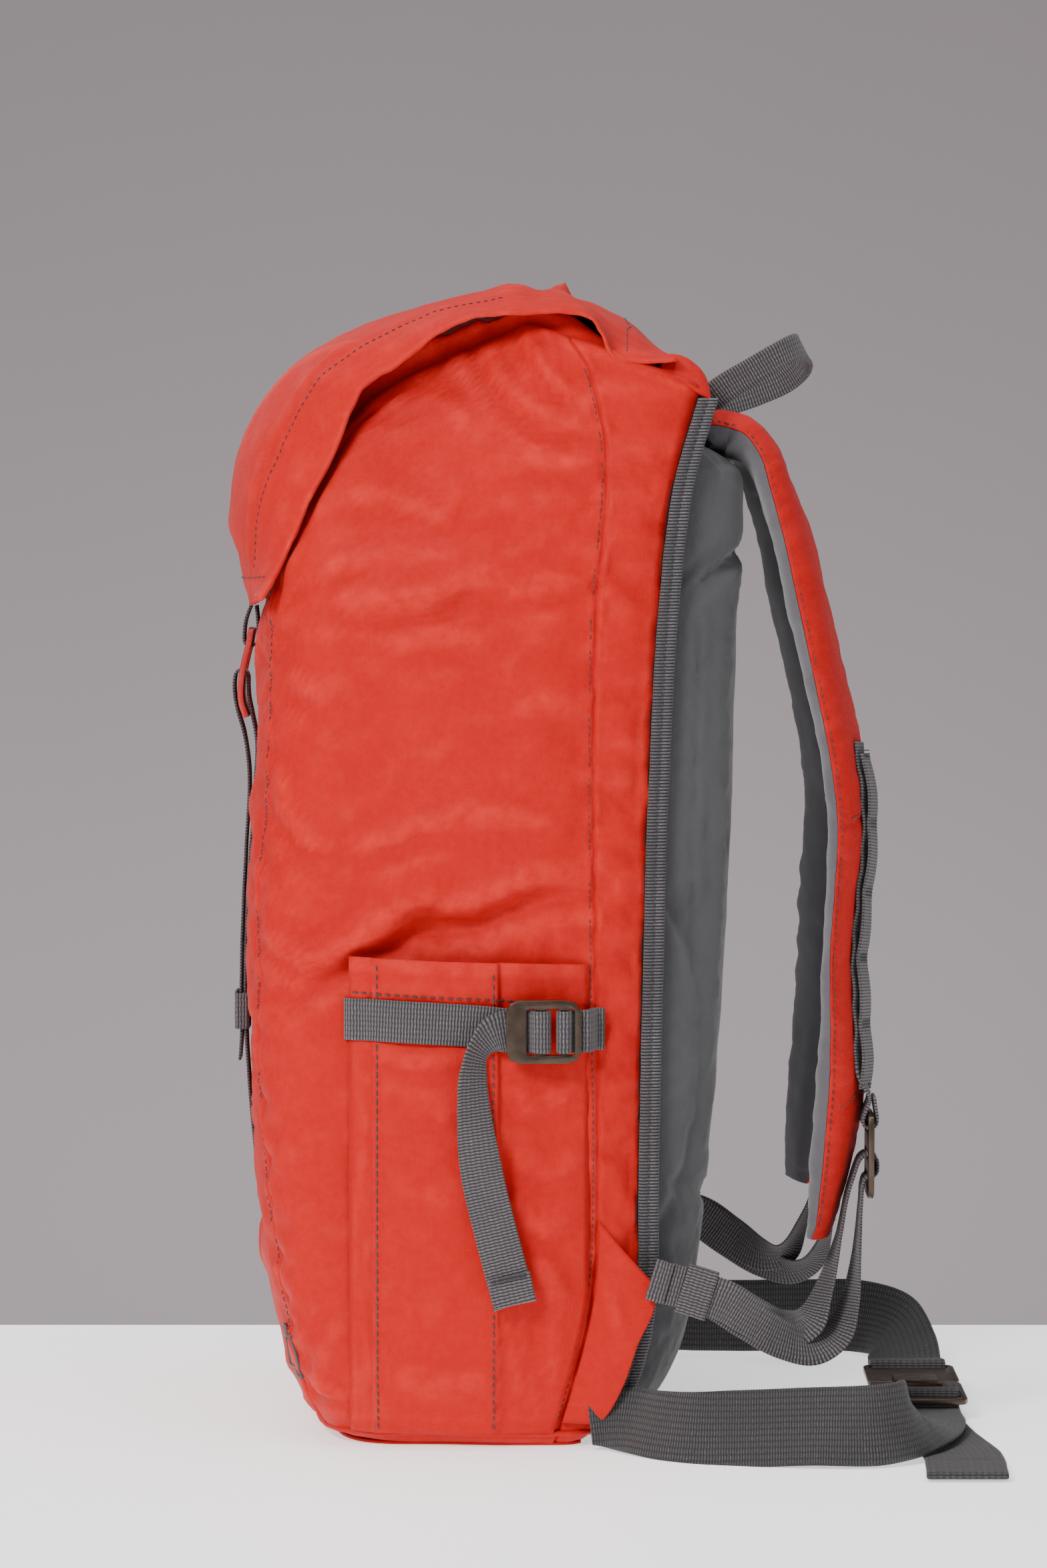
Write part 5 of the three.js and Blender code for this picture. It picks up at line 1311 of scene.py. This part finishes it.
strap_t = np.linspace(0, 1, 236)
strap_point, strap_along, strap_across, strap_out, strap_dims = strap_frame(strap_t)
strap_run = np.concatenate([[0], np.cumsum(np.linalg.norm(np.diff(strap_point, axis=0), axis=1))])


seam_shift = np.interp(strap_point[:, 2:3], [200, 330, 420],
                       [-1.5, 0.0, 1.5])  # of the seam, towards the lining


def strap_half(side, outer):
    """Outer or inner half of the padded strap, closed along the seam between the two."""
    n = 19
    share = np.sin(np.linspace(-math.pi / 2, math.pi / 2, n))
    run = strap_run[:, None]
    thickness = strap_dims[:, 1:2]
    edge = np.abs(share)[None] ** 3
    seed = 171 if outer else 181
    shift = seam_shift if outer else -seam_shift
    body = thickness / 2 - 1.7 + np.clip(thickness / 2 - 3.5, 0, 1) * shift
    height = body * (1 - np.abs(share[None]) ** 3.4) ** 0.8 + 1.7 * np.sqrt(np.maximum(0,
            1 - share[None] ** 2)) * 1.3
    puckers = fractal(run / 3.6, share[None] * 1.4 + side, seed, 2) * edge * 0.75
    if not outer:
        puckers = puckers + 1.5 * noise(run / 9, 0 * run + side, seed + 1) * np.abs(share[None]) ** 2
    soft = 0.5 * fractal(run / 26, share[None] * 1.2, seed + 3) * (1 - share[None] ** 2)
    if not outer:
        soft = soft + (5.5 * bump(run - 23, 9) + 4.5 * bump(run - 9, 7)) * (1 - 0.3 * share[None] ** 2)
    wrinkle = 0.35 * fractal(run / 7, share[None] * 2.2 + side, seed + 5) * (1 - 0.4 * edge)
    if outer:
        for z_at, lean, depth in ((302, 0.35, 0.9), (168, 0.5, 0.8)):
            soft = soft - depth * bump(strap_point[:, 2:3] - z_at + lean * share[None] * 18,
                                       1.3) * (1 - share[None] ** 8)
    height = np.maximum(height + (puckers + soft + wrinkle) * np.clip(height / 3, 0, 1), 0.35)
    sign = 1 if outer else -1
    half = strap_dims[:, 0:1] / 2 + 0.5 * fractal(run / 5, 0 * run + side, seed + 9)
    seam_at = -seam_shift * np.clip(thickness / 2 - 3.5, 0, 1)

    def place(h):
        across = strap_across[:, None] * (share[None, :, None] * half[..., None])
        return strap_point[:, None] + across + strap_out[:, None] * (seam_at + sign * h)[..., None]

    ring = np.concatenate([place(height), place(np.full_like(height, 0.12))[:, ::-1]], axis=1)
    ring[..., 1] *= side
    rows, cols = ring.shape[:2]
    faces = grid_faces(rows, cols, True).tolist()
    last = (rows - 1) * cols
    for i in range(n - 1):
        faces.append([i + 1, i, cols - 1 - i, cols - 2 - i])
        faces.append([last + i, last + i + 1, last + cols - 2 - i, last + cols - 1 - i])
    uvs = np.stack([np.broadcast_to(np.concatenate([share, share[::-1]])[None] * 30, (rows, cols)),
                    np.broadcast_to(run, (rows, cols))], axis=-1).reshape(-1, 2)
    # painted highlight, partly rubbed wear: the puckers along the strap's seam are marked paler
    wear_and_highlight = np.clip(puckers * 0.5, 0, 0.5)
    wear_and_highlight = np.concatenate([wear_and_highlight, np.zeros_like(wear_and_highlight)], axis=1)
    name = ("strap_cover_cloth_" if outer else "strap_lining_cloth_") + NAMES[side]
    piece = make(name, ring.reshape(-1, 3), faces, canvas if outer else lining_grey,
                 uvs=uvs, wear_and_highlight=wear_and_highlight)
    nodes = ["strap_cover_" + NAMES[side],
             "strap_foam_" + NAMES[side]] if outer else ["strap_lining_" + NAMES[side]]
    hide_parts(*nodes)
    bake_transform(piece)


def strap_spot(z):
    """Middle, outward, across and size of the right strap at a height."""
    order = np.argsort(strap_point[60:, 2])
    return [np.array([np.interp(z, strap_point[60:, 2][order], rows[60:, k][order]) for k in range(3)])
            for rows in (strap_point, strap_out, strap_across, strap_dims)]


def strap_point_at(z, lift, share=0.0):
    """A point on the right strap's outer face at a height."""
    p, o, c, d = strap_spot(z)
    height = (d[1] / 2 - 1.7) * (1 - abs(share) ** 3.4) ** 0.8 + 1.9
    return p + unit(o) * (height + lift) + unit(c) * share * d[0] / 2


def strap_row(z, lift, width):
    """A row of webbing lying on the right strap's outer face."""
    return [*strap_point_at(z, lift), *(unit(strap_spot(z)[2]) * width)]


for side in (1, -1):
    strap_half(side, True)
    strap_half(side, False)
    lines = []
    inner_rows = slice(4, 232)
    for edge in (-1, 1):
        half = strap_dims[:, 0:1] / 2
        points = (strap_point + strap_across * edge * 0.955 * half + strap_out
                  * (1.9 - seam_shift))[inner_rows]
        normals = (strap_out * 0.35 + strap_across * edge * 0.95)[inner_rows]
        lines.append((points * [1, side, 1], normals * [1, side, 1]))
    for z_at, lean in ((304.6, 0.35), (170.6, 0.5)):
        row = np.array([strap_point_at(z_at - lean * s * 18, 0.0, s) for s in np.linspace(-0.86, 0.86, 30)])
        lines.append((row * [1, side, 1], np.tile([0.9, 0, 0.4], (30, 1))))
    stitches("strap_stitches_" + NAMES[side], lines, NAMES[side] + "_strap", pitch=3.6, length=2.5,
             radius=0.34)

    body = NAMES[side] + "_strap"
    flat = [strap_row(h, 0.9 + 0.5 * math.sin(h / 3.1), 20) for h in range(336, 178, -6)]
    tab = [[198.2, 167], [196.2, 161], [194.9, 156.5], [195.6, 153.4], [198.5, 152.7], [201.2, 154.2],
           [201.7, 158],
           [200.9, 163], [200.4, 167.5]]
    webbing("strap_tape_" + NAMES[side], flip(flat + [[x, -100, h, 0, -20, 0] for x, h in tab], side),
            body=body,
            node="strap_webbing_" + NAMES[side], thickness=1.5, spacing=1.8, wave=0.12, seed=191)
    tacks = [330, 298, 266, 234, 202, 172]
    chain = []
    for i, h in enumerate(tacks):
        chain.append(strap_row(h, 3.2, 19))
        if i < len(tacks) - 1:
            chain += [strap_row(h + (tacks[i + 1] - h) * s, 3.2 + rise, 19)
                      for s, rise in ((0.12, 0.3), (0.3, 0.9), (0.55, 1.3), (0.8, 0.8), (0.93, 0.2))]
    webbing("strap_loops_" + NAMES[side], flip(chain, side), body=body, node="daisy_chain_" + NAMES[side],
            thickness=1.4,
            spacing=1.8, wave=0.15, seed=193)
    bars = []
    for h in tacks:
        for dz in (-1.6, 0, 1.6):
            row = np.array([strap_point_at(h + dz, 4.0) + unit(strap_spot(h)[2]) * s
                            * 8.2 for s in np.linspace(-1, 1, 12)])
            bars.append((row * [1, side, 1], np.tile([1, 0, 0.1], (12, 1))))
    stitches("strap_bar_tacks_" + NAMES[side], bars, body, pitch=2.1, length=1.9, radius=0.3)

# ---------------------------------------------------------------- adjusting webbing and its keeper

ADJUSTER = [
    [94.5, -134.8, 82.5, 6, 0, 19], [108, -135.2, 79.5, 6, 0, 19], [122, -134.9, 74.5, 7, 0, 18.5],
    [138, -131, 64, 10, 1, 17],
    [155, -124, 53, 6, 6, 17], [170, -116, 48, -3, 11, 16], [182, -109, 53, -10, 15, 8],
    [189, -104, 68, -7, 18, 2],
    [192.5, -101, 92, -2, 19.9, 0],
    *[[x, -100, z, 0, 20, 0] for x, z in (
        (194.3, 116), (194.9, 124.5), (196.3, 128.6), (198.5, 129.3), (200.6, 129.8), (201.9, 132),
        (202, 134.5),
        (201.9, 137), (200.4, 139.1), (198.5, 139.6), (196.2, 139.6), (193.6, 137.5), (190.8, 130),
        (187, 117))],
    [183.4, -100.5, 98, -1, 19.9, 0], [177.5, -103, 77, -5, 18.5, 4], [169, -109, 60, -4, 15, 12],
    [156.5, -118.5, 56.5, 5, 8, 16.5], [142, -130.4, 64, 9, 2, 17], [127, -136.9, 73.6, 7, 0, 18.5],
    [112, -137.4, 78.6, 6, 0, 19], [100, -137.3, 82, 6, 0, 19]]


def rounded_band(centre, axis, wide, narrow, length, thickness, bulge=1.0):
    """A flat elastic loop round webbing: wide and narrow are the loop's half vectors across the webbing."""
    centre, axis = np.array(centre, float), unit(np.array(axis, float))
    wide, narrow = np.array(wide, float), np.array(narrow, float)
    turn = np.linspace(0, 2 * np.pi, 49)[:-1]
    power = 0.32
    cx = np.sign(np.cos(turn)) * np.abs(np.cos(turn)) ** power
    cy = np.sign(np.sin(turn)) * np.abs(np.sin(turn)) ** power
    rings = []
    s = np.linspace(-0.5, 0.5, 12)
    for grow in (0, 1):
        for k in (s if grow == 0 else s[::-1]):
            add = thickness * (1 if grow == 0 else 0)
            w = wide * (1 + add / np.linalg.norm(wide))
            n = narrow * (1 + add * bulge / np.linalg.norm(narrow))
            drop = 0.25 * math.cos(k * 9)
            rings.append(centre + axis * k * length + cx[:, None] * w + cy[:, None]
                         * (n * (1 + 0.03 * drop)))
    grid = np.stack(rings)
    rows, cols = grid.shape[:2]
    faces = [[(r % rows) * cols + c, (r % rows) * cols + (c + 1) % cols, ((r + 1) % rows) * cols
              + (c + 1) % cols,
              ((r + 1) % rows) * cols + c] for r in range(rows) for c in range(cols)]
    around = np.concatenate([[0], np.cumsum(np.linalg.norm(np.diff(grid[0], axis=0), axis=1))])
    v = np.concatenate([s, s[::-1]]) * length
    uvs = np.stack([np.broadcast_to(v[:, None], (rows, cols)), np.broadcast_to(around[None], (rows, cols))],
                   axis=-1)
    return grid.reshape(-1, 3), faces, uvs.reshape(-1, 2)


for side in (1, -1):
    piece = webbing("adjusting_webbing_" + NAMES[side], flip(ADJUSTER, side),
                    node="adjuster_" + NAMES[side],
                    thickness=1.3, spacing=1.7, wave=0.25, seed=201)
    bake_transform(piece)
    verts, faces, uvs = rounded_band((114, -136.2 * side, 77.7), (0.952, 0, -0.305), (3.4, 0, 10.6),
                                     (0, -side * 2.3, 0), 15, 0.9)
    band = make("keeper_band_" + NAMES[side], verts, faces, webbing_dark,
                NAMES[side] + "_keeper", uvs=uvs)
    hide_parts("adjuster_keeper_" + NAMES[side])
    end = [[100.5, -138.8, 81.8, 6, 0, 19], [96, -138.9, 83.1, 6, 0, 19], [93.2, -138.5, 84.0, 6, 0, 19],
           [92.7, -137.4, 84.1, 6, 0, 19], [93.5, -136.4, 83.8, 6, 0, 19], [98, -136.3, 82.6, 6, 0, 19]]
    webbing("adjuster_end_" + NAMES[side], flip(end, side), body="pack", thickness=1.2, spacing=1.2)

# ---------------------------------------------------------------- front strap, lid loop and hook


def against(z, off):
    """A row of the front strap standing off the front by the given distance."""
    return [float(front_x(z)) - off, 0, z, 0, 20, 0]


over_hook = [[-104.2, 348], [-105.6, 355], [-106, 361], [-106.1, 366], [-107.3, 368.6], [-109.6, 369.4],
             [-111.8, 368.4],
             [-112.8, 365], [-112.8, 357], [-111, 348], [-108.2, 338]]
front_rows = [against(106, 2.2), against(150, 2.4), against(200, 2.7), against(260, 2.3), against(310, 2.2),
              against(334, 2.6), *[[x, 0, z, 0, 20, 0] for x, z in over_hook], against(318, 5.4),
              against(280, 4.6),
              against(240, 4.6), against(212, 4.7), against(188, 4.9), against(174, 6.5)]
webbing("front_webbing", front_rows, body="pack", node="front_strap", thickness=1.3, spacing=1.8, wave=0.1,
        seed=211)
loop_rows = [[-101.9, 401.3], [-101.2, 394], [-101, 387], [-101.8, 382.8], [-104.7, 381], [-107.6, 382.9],
             [-107.9, 388.5], [-106.9, 395], [-104.6, 401.3]]
webbing("lid_webbing", [[x, 0, z, 0, 20, 0] for x, z in loop_rows], body="lid", node="lid_strap_loop",
        thickness=1.3,
        spacing=1.2, wave=0.05, seed=213)
verts, faces, uvs = rounded_band((float(front_x(199)) - 4.2, 0, 199), (0, 0, 1), (0, 11.2, 0), (-2.9, 0, 0),
                                 18, 0.9)
band = make("front_keeper_loop", verts, faces, webbing_dark, "front_keeper", uvs=uvs)
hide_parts("front_strap_keeper")

# ---------------------------------------------------------------- compression webbing

outside = float(side_reach(10, 203.5)) + 0.45 + 1.6 + 8 + 1
LOAD, TAIL, PLATE = -outside - 0.8, -outside - 3, -outside - 4.6


def compression(side):
    middle, over, in_plate, h, w = 40.75, PLATE - 4.3, PLATE - 1.5, 203.5, 20
    reach = lambda x: -float(pocket_reach(np.array(float(x)), np.array(208.0), side)) - 1.0
    rows = [[-54, -float(side_reach(-54, 208)) - 1.3, 208, 0, 0, w], [-50.5, reach(-50), 208, 0, 0, w],
            [-45, reach(-45), 208, 0, 0, w], [-40, reach(-38) - 0.2, 208, 0, 0, w],
            [-30, min(reach(-30), LOAD + 2.5), 207.6, 0, 0, w],
            [-15, LOAD, 207, 0, 0, w], [10, LOAD, 205.5, 0, 0, w],
            [30, LOAD, h, 0, 0, w], [middle + 0.8, LOAD - 0.3, h, 0, 0, w],
            [middle + 3, in_plate, h, 0, 0, w],
            [middle + 1, over, h, 0, 0, w], [middle - 3.4, over, h, 0, 0, w],
            [middle - 5.5, in_plate, h, 0, 0, w],
            [middle - 8.5, TAIL, h, 0, 0, w], [24, TAIL, h, 0, 0, w], [16, TAIL - 1.2, 201.5, 1, -2, w - 2],
            [9.6, TAIL - 3.6, 194.5, -5, -8, 12], [7.4, TAIL - 5.0, 184, -11, -10, 8],
            [7.6, TAIL - 5, 168, -15, -8, 3],
            [11.5, TAIL - 3.8, 136, -w, -1, -2], [18.5, TAIL - 3, 106, -w, 0, -4],
            [27, TAIL - 2.4, 74, -w, 0, -5]]
    end = [[24.2, TAIL - 3.9, 87, -w, 0, -5], [26.4, TAIL - 3.7, 77, -w, 0, -5],
           [27.3, TAIL - 3.0, 73.6, -w, 0, -5],
           [27.2, TAIL - 1.6, 73.2, -w, 0, -5], [26.2, TAIL - 1.0, 77, -w, 0, -5],
           [24.4, TAIL - 1.2, 86, -w, 0, -5]]
    extra = [strip_mesh(flip(end, side), spacing=1.2, thickness=1.2)]
    piece = webbing("compression_webbing_" + NAMES[side], flip(rows, side),
                    node="compression_strap_" + NAMES[side], thickness=1.3, spacing=1.6, wave=0.22,
                    seed=221, extra=extra)
    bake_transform(piece)
    near_wall, under, wall_y = PLATE + 3.1, PLATE + 1.3, -float(side_reach(67, h))
    anchor = [[68, wall_y - 1.5, h], [65, wall_y - 2.6, h], [60, near_wall, h], [50, near_wall, h],
              [47.9, PLATE + 2.2, h], [47.6, in_plate, h], [48.9, PLATE - 4.5, h], [52.3, PLATE - 4.5, h],
              [53.7, in_plate, h], [54.2, PLATE + 0.5, h], [57, under, h], [62, under - 0.2, h],
              [66.5, wall_y - 4.4, h], [70, wall_y - 3.8, h]]
    anchor = [[*row, 0, 0, w] for row in anchor]
    piece = webbing("compression_anchor_webbing_" + NAMES[side], flip(anchor, side),
                    node="compression_anchor_" + NAMES[side], thickness=1.3, spacing=1.2, wave=0.04,
                    seed=223)
    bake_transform(piece)
    lines = []
    for dz in (0.0, 1.7):
        row = np.array([[24.6 + s * 8.6 + (13.0 - dz) * -0.02, TAIL - 4.75, 86.6 - dz + s * 2.2]
                        for s in np.linspace(-1, 1, 12)])
        lines.append((row * [1, side, 1], np.tile([0, -side, 0], (12, 1))))
    piece = stitches("compression_hem_stitches_" + NAMES[side], lines, None, pitch=2.2, length=2.0,
                     radius=0.32)
    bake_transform(piece)
    lines = []
    for x in (-52.2, 67.2):
        y = -float(side_reach(x, h)) - (2.4 if x < 0 else 4.6)
        row = np.array([[x, y, 208 * (x < 0) + h * (x > 0) + s * 8.8] for s in np.linspace(-1, 1, 12)])
        lines.append((row * [1, side, 1], np.tile([0, -side, 0], (12, 1))))
    stitches("compression_stitches_" + NAMES[side], lines, "pack", pitch=2.2, length=2.0, radius=0.32)


for side in (1, -1):
    compression(side)

# ---------------------------------------------------------------- haul loop and waist belt

near_leg = [[116.5, -17, 497, -6, 2, 13], [122, -20, 502.5, -8, 2, 12], [131, -22.5, 509.5, -8, 1, 11.5],
            [145, -23, 518, -7, 0, 11.5], [158, -20.5, 525.5, -6, -2, 12], [167, -12, 529.5, -6, -3, 12.5]]
far_leg = [[170.5, 0, 527.5, -7, 0, 13], [170, 11, 522, -7, 3, 13], [162, 20, 514.5, -7, 2, 13],
           [147, 23, 508, -7, 0, 13.5],
           [133, 21, 503.5, -7, 0, 14], [124, 19, 500.5, -7, 0, 14], [117.5, 17, 497, -6, 0, 14]]
haul_rows = near_leg + far_leg
webbing("haul_webbing", haul_rows, body="haul_loop", node="haul_loop", thickness=2.4, spacing=1.6,
        wave=0.35, seed=231)

BELT_X, BELT_W = 228, 38
flat_row = lambda y, z: [BELT_X, y, z, -BELT_W, 0, 0]
through_frame = [(-51, 5.2), (-47.6, 5.9), (-46.2, 8.2), (-46, 10.5), (-44.4, 12.9), (-40.4, 13.5),
                 (-36.4, 12.9),
                 (-34.8, 10.5), (-34.5, 8), (-34.6, 5), (-36.6, 2.4), (-42, 1.6)]
belt_right_rows = [
    [63, -128.2, 14, 8, 0, 22], [72, -128.8, 15, 13, 1, 25], [82, -133.5, 15.5, 14, 3, 28],
    [95, -146, 15.5, 8, 7, 31],
    [112, -155.5, 15.5, 3, 11, 33],
    [132, -159, 16, 0, 16, 34],
    [168, -166, 18.5, 0, 17, 34], [198, -171, 20, 0, 4, 38], [213, -163, 21, -5, 3, 37],
    [220, -140, 19, -24, 5, 29],
    [225, -112, 11, -36, 2, 11], [228, -86, 6.2, -38, 0, 0], [228, -62, 5.3, -38, 0, 0],
    *[flat_row(y, z) for y, z in through_frame], [228.5, -50, 1.6, -38, 0, 0], [229, -62, 1.6, -38, 0, 0],
    [232, -95, 1.6, -38, 0, 0], [240, -150, 1.6, -38, 3, 0], [238, -204, 1.9, -38, 0, 0]]
belt_end = [[239.1, -178, 3.6, -38, 2, 0], [238.2, -198, 3.8, -38, 0, 0], [238, -204.5, 3.6, -38, 0, 0],
            [238, -206.6, 2.6, -38, 0, 0], [238, -205.4, 1.7, -38, 0, 0], [238, -200, 1.6, -38, 0, 0]]
round_bar = [(54, 9.4), (47, 12.6), (41, 13.2), (37.2, 12.4), (36.2, 9.5), (37.2, 6.6), (41, 5.6),
             (50, 5.6)]
belt_left_rows = [
    *[[228, y, z, 38, 0, 0] for y, z in round_bar], [229, 75, 6, 38, 0, 0], [229, 98, 11, 35, 0, 13],
    [225, 122, 18, 20, 6, 31], [208, 139, 20, 3, 3, 38], [180, 142, 20, 0, 0, 38], [151, 140, 20, 0, 0, 38],
    [115, 143, 20, 0, 0, 38], [84, 149, 21, 0, -2, 38], [73, 145, 22.5, 0, -3, 38],
    [69, 136.5, 24, 0, 0, 38]]
right_belt = webbing("belt_webbing_right", belt_right_rows, look=belt_dark, node="waist_belt_right",
                     thickness=1.9,
                     spacing=2.4, wave=0.3, seed=241,
                     extra=[strip_mesh(belt_end, spacing=1.6, thickness=1.4)])
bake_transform(right_belt)
left_belt = webbing("belt_webbing_left", belt_left_rows, look=belt_dark, node="waist_belt_left",
                    thickness=1.9,
                    spacing=2.4, wave=0.3, seed=243)
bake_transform(left_belt)

# ---------------------------------------------------------------- hard parts kept from the frame

HARD = {
    bronze: ["ladder_lock_right", "ladder_lock_left", "compression_buckle_right", "compression_buckle_left",
             "waist_buckle_frame", "waist_buckle_hook"],
    red_metal: ["front_hook"],
    lock_black: ["cord_lock_body", "cord_lock_button"],
    steel: ["cord_lock_spring"],
    webbing_dark: ["drawcord"],
    sheet_white: ["frame_sheet"],
}
for look, names in HARD.items():
    for name in names:
        node = frame["nodes"][name]
        node.data.materials.clear()
        node.data.materials.append(look)
        if look in (bronze, red_metal, lock_black):
            weld = node.modifiers.new("weld", "WELD")
            weld.merge_threshold = 0.00002
            bevel = node.modifiers.new("bevel", "BEVEL")
            bevel.width = 0.0007 if look is bronze else 0.0004
            bevel.segments = 3
            bevel.limit_method = "ANGLE"
            bevel.angle_limit = math.radians(40)
            bevel.harden_normals = True
            node.data.polygons.foreach_set("use_smooth", [True] * len(node.data.polygons))

# ---------------------------------------------------------------- table and backdrop


def stage_plane(name, corners, color, roughness, glow=0.0):
    mesh = bpy.data.meshes.new(name)
    mesh.from_pydata(corners, [], [(0, 1, 2, 3)])
    s = Shader(name, color, roughness, specular=0.3)
    where = s.place()
    s.color(s.mix(s.remap(s.noise(where, 3, 3), 0.3, 0.7, 0.0, 0.35), color,
                  tuple(c * 0.96 for c in color)))
    s.surface.inputs["Emission Color"].default_value = (*color, 1)
    s.surface.inputs["Emission Strength"].default_value = glow
    mesh.materials.append(s.material)
    plane = bpy.data.objects.new(name, mesh)
    bpy.context.scene.collection.objects.link(plane)


TABLE_REACH, TABLE_NEAR, TABLE_FAR, TABLE_TOP = 2.5, -2.4, 0.229, -0.0002
stage_plane("table", [(-TABLE_REACH, TABLE_NEAR, TABLE_TOP), (TABLE_REACH, TABLE_NEAR, TABLE_TOP),
                      (TABLE_REACH, TABLE_FAR, TABLE_TOP), (-TABLE_REACH, TABLE_FAR, TABLE_TOP)],
            (0.97, 0.955, 0.95), 0.55, glow=0.85)

BACKDROP_Y, BACKDROP_REACH, BACKDROP_LOW, BACKDROP_HIGH = 6.5, 8, -3, 6
stage_plane("backdrop", [(-BACKDROP_REACH, BACKDROP_Y, BACKDROP_LOW),
                         (BACKDROP_REACH, BACKDROP_Y, BACKDROP_LOW),
                         (BACKDROP_REACH, BACKDROP_Y, BACKDROP_HIGH),
                         (-BACKDROP_REACH, BACKDROP_Y, BACKDROP_HIGH)],
            (0.33, 0.292, 0.298), 0.9, glow=0.28)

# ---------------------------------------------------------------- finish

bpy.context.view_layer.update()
